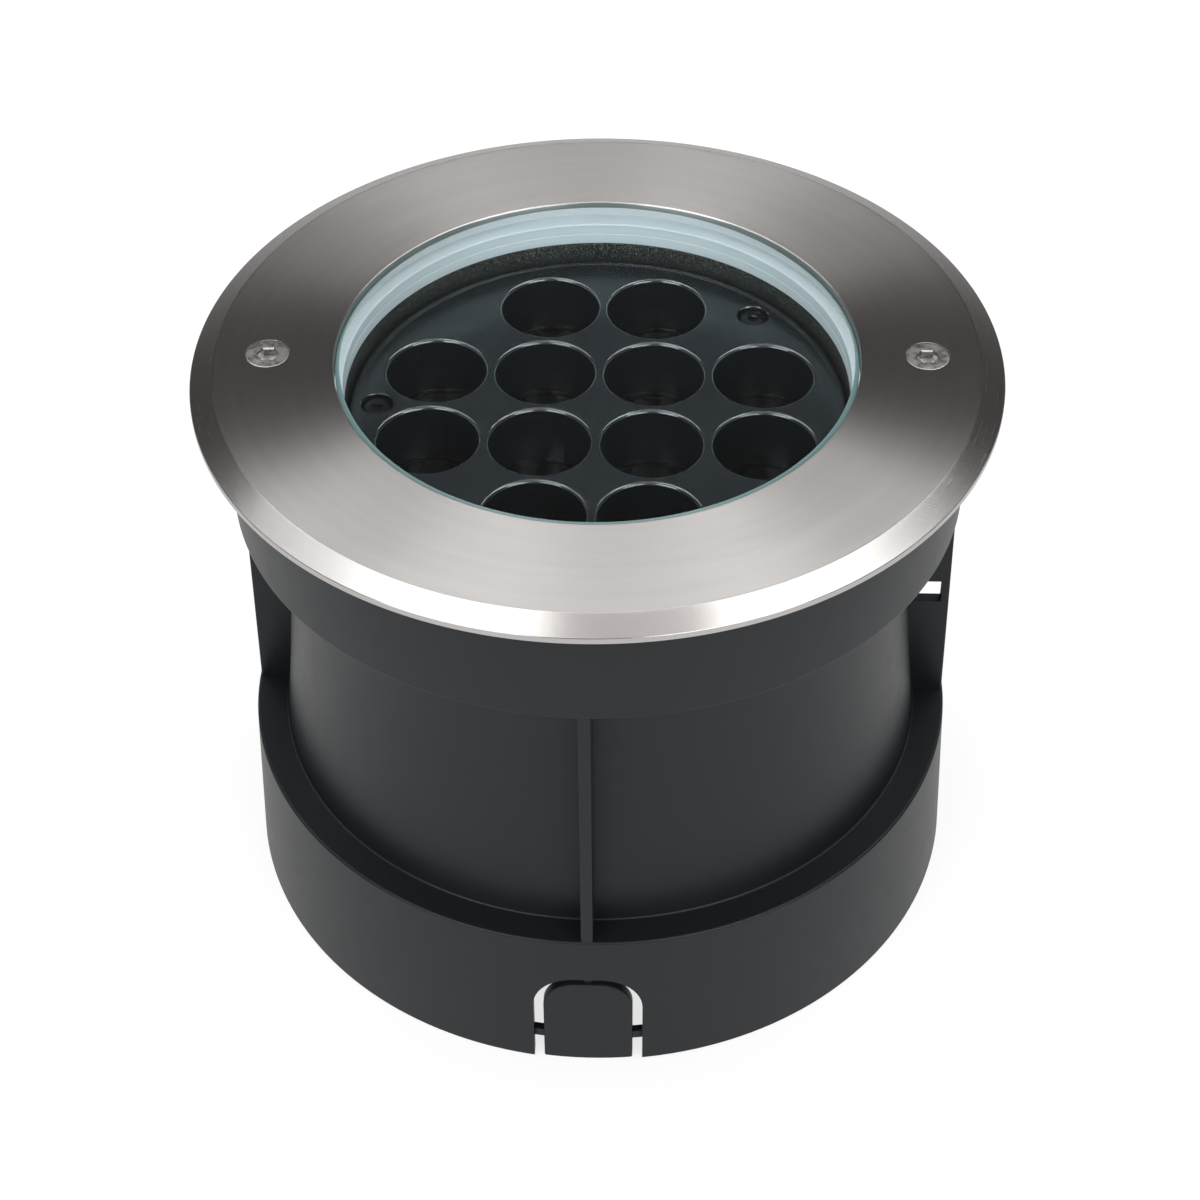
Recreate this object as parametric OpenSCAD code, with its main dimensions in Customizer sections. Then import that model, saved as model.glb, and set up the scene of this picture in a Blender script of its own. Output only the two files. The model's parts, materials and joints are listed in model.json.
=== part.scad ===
// In ground well light: a luminaire with a tilting LED module in its installation sleeve.
// Origin at the centre of the sleeve's foot, +Z up, front at -Y. Lengths in millimetres.

/* [Optics] */
// Distance between neighbouring LEDs and wells
led_pitch = 25; // [24:0.5:30]
// Greatest tilt of the LED module each way, in degrees
tilt_max = 8; // [4:1:8]
// Length of the wells' tubes from the plate's top face
tube_len = 14; // [11:0.5:18]
// Wall of the wells' tubes
tube_wall = 1.05; // [0.8:0.05:1.5]
// Thickness of the louvre plate
plate_t = 3; // [2.5:0.25:3.5]
// Rim between the outer wells and the plate's edge
plate_edge = 4.17; // [3.9:0.01:6]

/* [Glass and gasket] */
// Thickness of the glass flange held by the gasket
glass_flange_t = 4; // [3:0.5:6]
// Width of the glass flange
glass_flange_w = 6; // [5:0.5:8]
// Depth of the glass face below the trim face
glass_recess = 0.6; // [0.3:0.1:1]
// Chamfer round the glass face
glass_chamfer = 0.9; // [0.5:0.1:1.3]
// Thickness of the gasket under the glass
gasket_lip_t = 5.4; // [3.6:0.2:6]
// Wall of the gasket round the glass flange
gasket_wall = 2.9; // [2:0.1:4]

/* [Trim ring] */
// Thickness of the trim ring
trim_t = 3.7; // [3.4:0.1:5]
// Upright land at the foot of the trim's bevel
trim_land = 1.5; // [0.8:0.1:2]
// Width of the trim's outer bevel
bevel_w = 5.1; // [3:0.1:6]
// Reach of the trim past the sleeve's collar
trim_overhang = 6.8; // [5:0.1:9]

/* [Housing] */
// Height of the cast lip below the gasket
lip_t = 8; // [7:0.2:11]
// Wall of the housing's can
can_wall = 4; // [3:0.25:5]
// Thickness of the housing's floor
floor_t = 4; // [4:0.25:6]
// Thickness of the clamp ring
clamp_t = 2; // [1.8:0.1:2.6]
// Thickness of the seal under the housing's flange
seal_t = 1.5; // [1:0.25:2.5]
// Height of the LED driver
driver_h = 18; // [16:1:24]

/* [Sleeve] */
// Height of the skirt, with its ledge
skirt_h = 40.4; // [38:0.1:50]
// Height of the body between ledge and collar
body_h = 69.7; // [65:0.1:80]
// Wall of the body and skirt
sleeve_wall = 3; // [2.5:0.25:3.5]
// Wall of the collar round the flange
collar_wall = 4; // [3:0.25:5]
// Thickness of the seat under the flange
seat_t = 6.4; // [5:0.2:8]
// Reach of the skirt past the collar
skirt_step = 1.8; // [1.5:0.1:6]
// Thickness of the ribs
rib_t = 2.8; // [2:0.2:4]
// Width of the knock-out openings
slot_w = 25.2; // [22:0.4:30]
// Height of the knock-out openings
slot_h = 28; // [25:0.5:32]
// Gap round the knock-out tabs
slot_gap = 2.3; // [1.5:0.1:3]

/* [Heat sink] */
// Thickness of the heat sink's base
sink_t = 4; // [3:0.5:6]
// Height of the heat sink's fins
fin_h = 7; // [5:0.5:10]
// Distance between fins
fin_pitch = 6; // [4:0.5:10]

/* [Hidden] */
$fn = 96;

// Overrun of cuts, depth by which pieces of one solid sink into each other, and play of fixed fits
over = 1;
sink = 0.8;
fixed_play = 0.02;
running_play = 0.05;
face_play = 0.1;

// Screws: shank radius, head radius, head height, socket width and socket depth
m3 = 1.5;
m3_head = 2.75;
m3_head_h = 2;
m3_socket = 2;
m3_socket_h = 0.9;
m4 = 2;
m4_head = 3.6;
m4_head_h = 2.4;
m4_socket = 2.5;
m4_socket_h = 1.4;
m5 = 2.5;
m5_head = 4.85;
m5_socket = 4;
m5_socket_h = 2.1;
m3_hole = 1.7;
m4_hole = 2.2;
m5_hole = 2.75;
head_land = 0.3;
head_drop = 0.08;
socket_chamfer = 0.4;

// Radii of the louvre plate: 4 by 4 wells without the corner ones
grid_r = led_pitch * sqrt(2.5);
tube_gap = 0.4;
tube_r = (led_pitch - tube_gap) / 2;
well_r = tube_r - tube_wall;
well_rim = 0.9;
plate_r = grid_r + tube_r + plate_edge;
plate_chamfer = 0.5;
WELLS = [
    for (i = [-1.5:1:1.5], j = [-1.5:1:1.5]) if (abs(i) + abs(j) < 3) [i, j] * led_pitch
];

// Ear of the heat sink, whose rounded top is centred on the pivot
ear_gap = 1;
ear_r = 4;
pivot_rise = plate_t + ear_gap + ear_r;

// Radii from the lip's bore outwards
bore_gap = 0.43;
bore_r = norm([plate_r, pivot_rise]) + bore_gap;
glass_step = 1;
glass_r = bore_r + glass_step;
glass_flange_r = glass_r + glass_flange_w;
gasket_overhang = 0.4;
gasket_r = glass_flange_r + face_play + gasket_wall;
gasket_top_gap = 0.6;
pocket_gap = 0.2;
pocket_r = gasket_r + pocket_gap;
clamp_screw_edge = 2.8;
clamp_pcr = pocket_r + clamp_screw_edge;
trim_screw_edge = 5.8;
trim_pcr = pocket_r + trim_screw_edge;
flange_edge = 5.5;
flange_r = trim_pcr + flange_edge;
collar_gap = 0.7;
collar_in_r = flange_r + collar_gap;
collar_r = collar_in_r + collar_wall;
trim_r = collar_r + trim_overhang;
trim_gap = 0.3;
trim_in_r = glass_r + trim_gap;
trim_edge = 0.3;
clamp_in_gap = 1;
clamp_in_r = glass_r + clamp_in_gap;
clamp_edge = 3;
clamp_out_r = trim_pcr + clamp_edge;

// Places of the tilt hinge across the object, from the board outwards
board_edge = 9.47;
board_r = grid_r + board_edge;
sink_edge = 1;
sink_r = board_r + sink_edge;
ear_space = 1.5;
ear_in = board_r + ear_space;
ear_t = 3.4;
ear_out = ear_in + ear_t;
washer_t = 0.5;
washer_r = 3.2;
arm_in = ear_out + face_play + washer_t;
arm_t = 2;
arm_out = arm_in + arm_t;
arm_top_r = 3.7;
arm_foot = 6;
pivot_tip = 0.3;
cavity_gap = 1.34;
cavity_r = norm([m3_head, arm_out + face_play + m3_head_h]) + cavity_gap;
can_r = cavity_r + can_wall;
can_space = 5.4;
body_in_r = can_r + can_space;
body_r = body_in_r + sleeve_wall;
skirt_r = collar_r + skirt_step;
skirt_draft = 2;
foot_r = skirt_r + skirt_draft;

// Heights from the foot upwards
collar_z = skirt_h + body_h;
seat_z = collar_z + seat_t;
flange_z = seat_z + seal_t;
pocket_z = flange_z + lip_t;
glass_z = pocket_z + gasket_lip_t;
glass_flange_z = glass_z + glass_flange_t;
gasket_top_t = 0.9;
clamp_z = glass_flange_z + gasket_top_t;
trim_z = clamp_z + clamp_t;
top_z = trim_z + trim_t;
glass_top_z = top_z - glass_recess;
collar_drop = 0.3;
collar_top_z = trim_z - collar_drop;

// Heights of the LED module, from the glass downwards
plate_gap = 2.6;
plate_top_z = glass_z - plate_r * sin(tilt_max) - plate_gap;
plate_z = plate_top_z - plate_t;
pivot_z = plate_top_z - pivot_rise;
tube_z = plate_top_z - tube_len;
lens_flange_t = 2;
cup_top_z = tube_z - lens_flange_t;
cup_h = 10.4;
holder_top_z = cup_top_z - cup_h;
holder_t = 2;
board_top_z = holder_top_z - holder_t;
board_t = 1.6;
sink_top_z = board_top_z - board_t;
sink_z = sink_top_z - sink_t;
fin_z = sink_z - fin_h;

// Heights of yoke, driver and floor, from the swing of the fins downwards
fin_edge = 6;
fin_r = sink_r - fin_edge;
swing_gap = 1.9;
yoke_top_z = fin_z - fin_r * sin(tilt_max) - swing_gap;
yoke_z = yoke_top_z - arm_t;
driver_gap = 3;
floor_z = yoke_z - driver_gap - driver_h;
can_z = floor_z - floor_t;

// Sleeve: edges, flare of the body above the ledge, bosses, window and knock-outs
sleeve_edge = 0.6;
ledge_t = 3;
ledge_drop = 0.7;
flare_z_rise = 60;
flare_w = 5;
flare_power = 1.5;
flare_steps = 6;
boss_wall = 2;
boss_floor = 1.5;
boss_spare = 3;
rib_inset = 0.3;
window_in = 2.6;
window_w = 7;
window_rise = 29.2;
window_h = 6.4;
slot_corner_r = 10;
tab_corner_r = 8;
tab_inset = 0.5;
web_w = 1.6;
web_h = 2.2;
web_t = 1.8;
web_z = 6.2;

// Brass inserts
insert_r = 3.5;
insert_len = 10;
insert_groove = 0.4;
insert_groove_h = 1.6;
insert_tip = 0.5;

// Screws of trim, clamp ring, louvre plate and board
TRIM_SCREW_ANGLES = [0, 182.3];
clamp_screw_count = 8;
clamp_screw_len = 10;
cup_r = 5;
cup_len = 6;
recess_r = 3.6;
recess_h = 3;
cup_edge = 6;
cup_pcr = plate_r - cup_edge;
CUP_ANGLES = [45, 180, 315];
plate_screw_len = 14;
plate_head_r = 3.2;
plate_head_h = 2.2;
holder_post_r = 3.5;
lobe_r = 4.6;
BOARD_SCREWS = [[1, 0], [0, 1], [-1, 0], [0, -1]] * led_pitch;
board_screw_tip = 1;

// Lens, lens cup and LED
cup_play = 0.1;
cup_wall = 1.2;
lens_side_play = 0.4;
lens_foot_r = 4.5;
lens_foot_drop = 1;
lens_power = 0.7;
lens_steps = 6;
lens_recess_r = 2.4;
lens_recess_h = 1.9;
lens_hole_r = 6.2;
led_w = 3.5;
led_t = 0.7;
dome_r = 1.5;
dome_sink = 0.3;

// Heat sink and yoke
fin_t = 1.6;
sink_tab = 6;
yoke_w = 12;
yoke_hole_r = 9;
post_r = 4.5;
post_x = 8;
post_edge = 8.5;
post_y = arm_in - post_edge;
yoke_screw_len = 12;

// Housing: cooling ribs on the can and chamfer of the lip
can_rib_count = 24;
can_rib_t = 2.2;
can_rib_w = 3;
can_rib_foot = 3;
can_rib_top = 8;
lip_edge = 0.5;

// Driver and terminal block
driver_x = 42;
driver_y = 22;
driver_wall = 1.5;
driver_foot_w = 7;
driver_foot_y = 20;
driver_foot_t = 2;
driver_screw_y = 14;
driver_screw_len = 5;
driver_board_gap = 0.5;
driver_board_rise = 3.5;
driver_post_r = 2.5;
driver_post_edge = 5;
coil = [18, 16, 9];
coil_core = [24, 6, 8];
coil_x = -6;
capacitor_r = 5;
capacitor_h = 9.5;
capacitor_x = 27;
capacitor_y = 9;
chip = [8, 12, 5];
chip_x = -29;
terminal = [26, 12, 13];
terminal_x = 24;
terminal_y = 35;
terminal_pitch = 8;
terminal_hole_r = 1.8;
terminal_hole_z = 4.5;
terminal_well_r = 2.4;
terminal_well_h = 4;

// Cable gland under the floor
gland_x = 28;
gland_y = 36;
gland_thread_r = 10;
gland_thread_rise = 6;
gland_bore_r = 6;
gland_hex = 24;
gland_hex_h = 7;
gland_gasket_t = 1.5;
gland_gasket_r = 12;
locknut_hex = 22;
locknut_h = 4;
gland_neck_r = 9;
gland_neck_len = 8;
cap_hex = 23;
cap_len = 14;
cap_gap = 0.6;
cap_floor = 3;
cap_hole_r = 6.6;
cap_cone = 4;
seal_r = 7.5;
seal_len = 11;
seal_bore_r = 4.25;

// Screws and their seats, drawn with the head's top at zero and the shank downwards

module hex_socket(width, depth) {
    corner_r = width / sqrt(3);
    translate([0, 0, -depth])
        cylinder(h = depth + over, r = corner_r, $fn = 6);
    translate([0, 0, -socket_chamfer])
        cylinder(h = socket_chamfer + fixed_play, r1 = width / 2, r2 = width / 2 + socket_chamfer);
}

module flat_screw(head_r, shank_r, len, socket, socket_h) {
    cone_h = head_r - shank_r;
    difference() {
        rotate_extrude()
            polygon([
                [0, 0], [head_r, 0], [head_r, -head_land], [shank_r, -head_land - cone_h],
                [shank_r, -len + socket_chamfer], [shank_r - socket_chamfer, -len], [0, -len]
            ]);
        hex_socket(socket, socket_h);
    }
}

module flat_seat(head_r, hole_r, depth) {
    seat_r = head_r + face_play;
    translate([0, 0, -head_land - head_drop])
        cylinder(h = head_land + head_drop + over, r = seat_r);
    translate([0, 0, -head_land - head_drop - (seat_r - hole_r)])
        cylinder(h = seat_r - hole_r, r1 = hole_r, r2 = seat_r);
    translate([0, 0, -depth - over])
        cylinder(h = depth + over, r = hole_r);
}

module pan_screw(head_r, head_h, shank_r, len, socket, socket_h) {
    difference() {
        rotate_extrude()
            polygon([
                [0, head_h], [head_r - socket_chamfer, head_h], [head_r, head_h - socket_chamfer],
                [head_r, 0], [shank_r, 0], [shank_r, -len], [0, -len]
            ]);
        translate([0, 0, head_h])
            hex_socket(socket, socket_h);
    }
}

module ring(r_in, r_out, z, h) {
    translate([0, 0, z])
        difference() {
            cylinder(h = h, r = r_out);
            translate([0, 0, -over])
                cylinder(h = h + 2 * over, r = r_in);
        }
}

module at_trim_screws() {
    for (a = TRIM_SCREW_ANGLES)
        rotate(a)
            translate([trim_pcr, 0, 0])
                children();
}

module at_clamp_screws() {
    for (i = [0:clamp_screw_count - 1])
        rotate((i + 0.5) * 360 / clamp_screw_count)
            translate([clamp_pcr, 0, 0])
                children();
}

module at_wells() {
    for (p = WELLS)
        translate(p)
            children();
}

module at_cups() {
    for (a = CUP_ANGLES)
        rotate(a)
            translate([cup_pcr, 0, 0])
                children();
}

module at_board_screws() {
    for (p = BOARD_SCREWS)
        translate(p)
            children();
}

module at_posts() {
    for (x = [-1, 1], y = [-1, 1])
        translate([x * post_x, y * post_y, 0])
            children();
}

module at_gland() {
    translate([-gland_x, -gland_y, 0])
        children();
}

// Sleeve

function flare_r(t) = body_r + flare_w * pow(t, flare_power);
function flare_z(t) = skirt_h - ledge_drop + flare_z_rise * (1 - t);
STEPS_UP = [for (i = [flare_steps:-1:0]) i / flare_steps];
STEPS_DOWN = [for (i = [0:flare_steps]) i / flare_steps];

module sleeve_shell() {
    rotate_extrude()
        polygon(concat(
            [[foot_r - sleeve_wall, 0], [foot_r, 0], [skirt_r, skirt_h - sleeve_edge],
                [skirt_r - sleeve_edge, skirt_h]],
            [for (t = STEPS_UP) [flare_r(t), flare_z(t)]],
            [[body_r, collar_z], [collar_r - sleeve_edge, collar_z], [collar_r, collar_z + sleeve_edge],
                [collar_r, collar_top_z], [collar_in_r, collar_top_z], [collar_in_r, seat_z],
                [body_in_r, seat_z]],
            [for (t = STEPS_DOWN) [flare_r(t) - sleeve_wall, flare_z(t) - t * ledge_t]],
            [[skirt_r - sleeve_wall, skirt_h - ledge_t]]
        ));
}

module sleeve_rib() {
    foot_z = skirt_h - ledge_drop - sink;
    rotate([90, 0, 0])
        linear_extrude(height = rib_t, center = true)
            polygon(concat(
                [[flare_r(1) - sink, foot_z], [skirt_r - rib_inset, foot_z],
                    [collar_r - rib_inset, collar_z + sink],
                    [body_r - sink, collar_z + sink]],
                [for (t = STEPS_DOWN) [flare_r(t) - sink, flare_z(t)]]
            ));
}

module rib_window() {
    translate([body_r + window_in, -rib_t, skirt_h + window_rise])
        cube([window_w, 2 * rib_t, window_h]);
}

module arch(width, height, corner_r) {
    translate([-width / 2, 0])
        square([width, height - corner_r]);
    translate([corner_r - width / 2, 0])
        square([width - 2 * corner_r, height]);
    for (side = [-1, 1])
        translate([side * (width / 2 - corner_r), height - corner_r])
            circle(r = corner_r);
}

module through_front() {
    start = skirt_r - 3 * sleeve_wall;
    translate([0, -start, 0])
        rotate([90, 0, 0])
            linear_extrude(height = 4 * sleeve_wall)
                children();
}

module skirt_wall(inset) {
    rotate_extrude()
        polygon([
            [foot_r - sleeve_wall, 0], [foot_r - inset, 0],
            [skirt_r - inset, skirt_h - sink], [skirt_r - sleeve_wall, skirt_h - sink]
        ]);
}

module knock_out_tab() {
    intersection() {
        skirt_wall(tab_inset);
        through_front()
            arch(slot_w - 2 * slot_gap, slot_h - slot_gap, tab_corner_r);
    }
    intersection() {
        skirt_wall(sleeve_wall - web_t);
        through_front() {
            translate([-slot_w / 2 - sink, web_z])
                square([slot_w + 2 * sink, web_h]);
            translate([-web_w / 2, slot_h - slot_gap - sink])
                square([web_w, slot_gap + 2 * sink]);
        }
    }
}

module knock_out_slot() {
    through_front()
        translate([0, -over])
            arch(slot_w, slot_h + over, slot_corner_r);
}

module installation_sleeve() {
    boss_r = insert_r + boss_wall;
    boss_z = seat_z - insert_len - boss_spare - boss_floor;
    color("#2b2d30") {
        difference() {
            union() {
                sleeve_shell();
                for (i = [0:3])
                    rotate(i * 90)
                        sleeve_rib();
                at_trim_screws()
                    translate([0, 0, boss_z])
                        cylinder(h = seat_z - boss_z - sink, r = boss_r);
            }
            rib_window();
            at_trim_screws()
                translate([0, 0, boss_z + boss_floor])
                    cylinder(h = seat_z - boss_z, r = insert_r + fixed_play);
            for (side = [0, 180])
                rotate(side)
                    knock_out_slot();
        }
        for (side = [0, 180])
            rotate(side)
                knock_out_tab();
    }
}

module thread_inserts() {
    groove_z = insert_len / 2 - insert_groove_h / 2;
    color("#b5914a")
        at_trim_screws()
            translate([0, 0, seat_z - insert_len])
                rotate_extrude()
                    polygon([
                        [m5 + running_play, 0], [insert_r, 0], [insert_r, groove_z],
                        [insert_r - insert_groove, groove_z],
                        [insert_r - insert_groove, groove_z + insert_groove_h],
                        [insert_r, groove_z + insert_groove_h], [insert_r, insert_len],
                        [m5 + running_play, insert_len]
                    ]);
}

// Trim, clamp ring, glass and seals

module trim_ring() {
    color("#c4c3c1")
        difference() {
            rotate_extrude()
                polygon([
                    [trim_in_r, trim_z], [trim_r, trim_z], [trim_r, trim_z + trim_land],
                    [trim_r - bevel_w, top_z], [trim_in_r + trim_edge, top_z], [trim_in_r, top_z - trim_edge]
                ]);
            at_trim_screws()
                translate([0, 0, top_z])
                    flat_seat(m5_head, m5_hole, trim_t);
        }
}

module trim_screws() {
    screw_top = top_z - head_drop;
    color("#a9a9a8")
        at_trim_screws()
            translate([0, 0, screw_top])
                flat_screw(m5_head, m5, screw_top - seat_z + insert_len - insert_tip, m5_socket, m5_socket_h);
}

module clamp_ring() {
    color("#8e8f91")
        difference() {
            ring(clamp_in_r, clamp_out_r, clamp_z, clamp_t);
            at_clamp_screws()
                translate([0, 0, trim_z])
                    flat_seat(m3_head, m3_hole, clamp_t);
            at_trim_screws()
                translate([0, 0, clamp_z - over])
                    cylinder(h = clamp_t + 2 * over, r = m5_hole);
        }
}

module clamp_screws() {
    color("#9b9b9a")
        at_clamp_screws()
            translate([0, 0, trim_z - head_drop])
                flat_screw(m3_head, m3, clamp_screw_len, m3_socket, m3_socket_h);
}

module glass_lens() {
    color("#9fb8b8", 0.35)
        rotate_extrude()
            polygon([
                [0, glass_z], [glass_flange_r, glass_z], [glass_flange_r, glass_flange_z],
                [glass_r, glass_flange_z], [glass_r, glass_top_z - glass_chamfer],
                [glass_r - glass_chamfer, glass_top_z], [0, glass_top_z]
            ]);
}

module glass_gasket() {
    color("#dfe4e4")
        rotate_extrude()
            polygon([
                [bore_r - gasket_overhang, pocket_z], [gasket_r, pocket_z], [gasket_r, clamp_z],
                [glass_r + gasket_top_gap, clamp_z], [glass_r + gasket_top_gap, glass_flange_z],
                [glass_flange_r + face_play, glass_flange_z], [glass_flange_r + face_play, glass_z],
                [bore_r - gasket_overhang, glass_z]
            ]);
}

module flange_seal() {
    seal_edge = 0.4;
    color("#3a3c3d")
        difference() {
            ring(body_in_r + seal_edge, flange_r, seat_z, seal_t);
            at_trim_screws()
                translate([0, 0, seat_z - over])
                    cylinder(h = seal_t + 2 * over, r = m5_hole);
        }
}

// Housing, with the posts that carry the yoke

module housing_shell() {
    rotate_extrude()
        polygon([
            [0, can_z], [can_r - floor_t / 2, can_z], [can_r, can_z + floor_t / 2], [can_r, flange_z],
            [flange_r, flange_z], [flange_r, clamp_z], [pocket_r, clamp_z], [pocket_r, pocket_z],
            [bore_r + lip_edge, pocket_z], [bore_r, pocket_z - lip_edge], [bore_r, flange_z],
            [cavity_r, flange_z], [cavity_r, floor_z], [0, floor_z]
        ]);
}

module housing() {
    rib_h = flange_z - can_z - can_rib_foot - can_rib_top;
    color("#55585a")
        difference() {
            union() {
                housing_shell();
                for (i = [0:can_rib_count - 1])
                    rotate((i + 0.5) * 360 / can_rib_count)
                        translate([can_r - sink, -can_rib_t / 2, can_z + can_rib_foot])
                            cube([can_rib_w + sink, can_rib_t, rib_h]);
                at_posts()
                    translate([0, 0, floor_z - sink])
                        cylinder(h = yoke_z - floor_z + sink, r = post_r);
            }
            at_trim_screws()
                translate([0, 0, flange_z - over])
                    cylinder(h = clamp_z - flange_z + 2 * over, r = m5_hole);
            at_clamp_screws()
                translate([0, 0, trim_z - clamp_screw_len - over])
                    cylinder(h = clamp_screw_len, r = m3 + fixed_play);
            at_posts()
                translate([0, 0, yoke_z - yoke_screw_len])
                    cylinder(h = yoke_screw_len + over, r = m4 + fixed_play);
            at_driver_screws()
                translate([0, 0, floor_z + driver_foot_t - driver_screw_len])
                    cylinder(h = driver_screw_len, r = m3 + fixed_play);
            at_gland()
                translate([0, 0, can_z - over])
                    cylinder(h = floor_t + 2 * over, r = gland_thread_r + face_play);
        }
}

// Tilt hinge

module tilt_yoke() {
    color("#8b8e90")
        difference() {
            union() {
                translate([-yoke_w, -arm_out, yoke_z])
                    cube([2 * yoke_w, 2 * arm_out, arm_t]);
                for (side = [0, 180])
                    rotate(side)
                        translate([0, arm_out, 0])
                            rotate([90, 0, 0])
                                linear_extrude(height = arm_t) {
                                    translate([0, pivot_z])
                                        circle(r = arm_top_r);
                                    polygon([
                                        [-arm_foot, yoke_z + sink], [arm_foot, yoke_z + sink],
                                        [arm_top_r, pivot_z], [-arm_top_r, pivot_z]
                                    ]);
                                }
            }
            translate([0, 0, yoke_z - over])
                cylinder(h = arm_t + 2 * over, r = yoke_hole_r);
            at_posts()
                translate([0, 0, yoke_z - over])
                    cylinder(h = arm_t + 2 * over, r = m4_hole);
            translate([0, arm_out + over, pivot_z])
                rotate([90, 0, 0])
                    cylinder(h = 2 * (arm_out + over), r = m3 + running_play);
        }
}

module yoke_screws() {
    color("#a2a3a4")
        at_posts()
            translate([0, 0, yoke_top_z])
                pan_screw(m4_head, m4_head_h, m4, yoke_screw_len, m4_socket, m4_socket_h);
}

module pivot_washers() {
    color("#b5914a")
        for (side = [0, 180])
            rotate(side)
                translate([0, arm_in, pivot_z])
                    rotate([90, 0, 0])
                        ring(m3 + running_play, washer_r, 0, washer_t);
}

module pivot_screws() {
    color("#9b9b9a")
        for (side = [0, 180])
            rotate(side)
                translate([0, arm_out + face_play, pivot_z])
                    rotate([-90, 0, 0])
                        pan_screw(m3_head, m3_head_h, m3, arm_out + face_play - ear_in - pivot_tip,
                            m3_socket, m3_socket_h);
}

// Driver and terminals on the housing's floor

module at_driver_screws() {
    for (x = [-1, 1], y = [-1, 1])
        translate([x * (driver_x + driver_foot_w / 2), y * driver_screw_y, 0])
            children();
}

module driver_case() {
    case_h = driver_h - driver_wall;
    color("#d9dad6")
        translate([0, 0, floor_z])
            difference() {
                union() {
                    translate([-driver_x, -driver_y, 0])
                        cube([2 * driver_x, 2 * driver_y, case_h]);
                    translate([-driver_x - driver_foot_w, -driver_foot_y, 0])
                        cube([2 * (driver_x + driver_foot_w), 2 * driver_foot_y, driver_foot_t]);
                }
                difference() {
                    translate([driver_wall - driver_x, driver_wall - driver_y, driver_wall])
                        cube([2 * (driver_x - driver_wall), 2 * (driver_y - driver_wall), case_h]);
                    for (x = [-1, 1], y = [-1, 1])
                        translate([x * (driver_x - driver_post_edge), y * (driver_y - driver_post_edge), 0])
                            cylinder(h = driver_board_rise, r = driver_post_r);
                }
                at_driver_screws()
                    translate([0, 0, -over])
                        cylinder(h = driver_foot_t + 2 * over, r = m3_hole);
            }
}

module driver_lid() {
    lip = driver_wall + face_play;
    color("#c9cbc8")
        translate([0, 0, floor_z + driver_h - driver_wall]) {
            translate([-driver_x, -driver_y, 0])
                cube([2 * driver_x, 2 * driver_y, driver_wall]);
            difference() {
                translate([lip - driver_x, lip - driver_y, -driver_wall])
                    cube([2 * (driver_x - lip), 2 * (driver_y - lip), driver_wall + fixed_play]);
                translate([lip + driver_wall - driver_x, lip + driver_wall - driver_y, -2 * driver_wall])
                    cube([2 * (driver_x - lip - driver_wall), 2 * (driver_y - lip - driver_wall),
                        2 * driver_wall]);
            }
        }
}

module driver_board() {
    edge = driver_wall + driver_board_gap;
    board = [2 * (driver_x - edge), 2 * (driver_y - edge)];
    color("#2f6b45")
        translate([0, 0, floor_z + driver_board_rise]) {
            translate([-board.x / 2, -board.y / 2, 0])
                cube([board.x, board.y, board_t]);
            translate([coil_x - coil.x / 2, -coil.y / 2, board_t - fixed_play])
                cube(coil);
            translate([coil_x - coil_core.x / 2, -coil_core.y / 2, board_t - fixed_play])
                cube(coil_core);
            for (y = [-1, 1])
                translate([capacitor_x, y * capacitor_y, board_t - fixed_play])
                    cylinder(h = capacitor_h, r = capacitor_r);
            translate([chip_x - chip.x / 2, -chip.y / 2, board_t - fixed_play])
                cube(chip);
        }
}

module driver_screws() {
    color("#9b9b9a")
        at_driver_screws()
            translate([0, 0, floor_z + driver_foot_t])
                pan_screw(m3_head, m3_head_h, m3, driver_screw_len - face_play, m3_socket, m3_socket_h);
}

module terminal_block() {
    color("#e4e2da")
        translate([terminal_x - terminal.x / 2, -terminal_y - terminal.y / 2, floor_z])
            difference() {
                cube(terminal);
                for (i = [-1:1])
                    translate([terminal.x / 2 + i * terminal_pitch, 0, 0]) {
                        translate([0, -over, terminal_hole_z])
                            rotate([-90, 0, 0])
                                cylinder(h = terminal.y + 2 * over, r = terminal_hole_r);
                        translate([0, terminal.y / 2, terminal.z - terminal_well_h])
                            cylinder(h = terminal_well_h + over, r = terminal_well_r);
                    }
            }
}

// Cable gland under the housing's floor

gasket_z = can_z - gland_gasket_t;
hex_z = gasket_z - gland_hex_h;
neck_z = hex_z - gland_neck_len;
cap_z = hex_z - cap_gap - cap_len;
gland_seal_z = cap_z + cap_floor;

module hexagon(width, h) {
    cylinder(h = h, r = width / sqrt(3), $fn = 6);
}

module gland_body() {
    color("#3c3f41")
        at_gland()
            difference() {
                union() {
                    translate([0, 0, neck_z])
                        cylinder(h = gland_neck_len + sink, r = gland_neck_r);
                    translate([0, 0, hex_z])
                        hexagon(gland_hex, gland_hex_h);
                    translate([0, 0, gasket_z - sink])
                        cylinder(h = floor_z + gland_thread_rise - gasket_z + sink, r = gland_thread_r);
                }
                translate([0, 0, neck_z - over])
                    cylinder(h = floor_z + gland_thread_rise - neck_z + 2 * over, r = gland_bore_r);
                translate([0, 0, neck_z - over])
                    cylinder(h = gland_seal_z + seal_len - neck_z + over, r = seal_r + face_play);
            }
}

module gland_cap() {
    cone_in = (cap_hex - cap_cone) / 2;
    cone_out = (cap_hex + cap_cone) / 2;
    color("#3c3f41")
        at_gland()
            difference() {
                translate([0, 0, cap_z])
                    intersection() {
                        hexagon(cap_hex, cap_len);
                        rotate_extrude()
                            polygon([
                                [0, 0], [cone_in, 0], [cone_out, cap_cone], [cone_out, cap_len], [0, cap_len]
                            ]);
                    }
                translate([0, 0, cap_z - over])
                    cylinder(h = cap_len, r = cap_hole_r);
                translate([0, 0, gland_seal_z - face_play])
                    cylinder(h = cap_len, r = gland_neck_r + face_play);
            }
}

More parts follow.
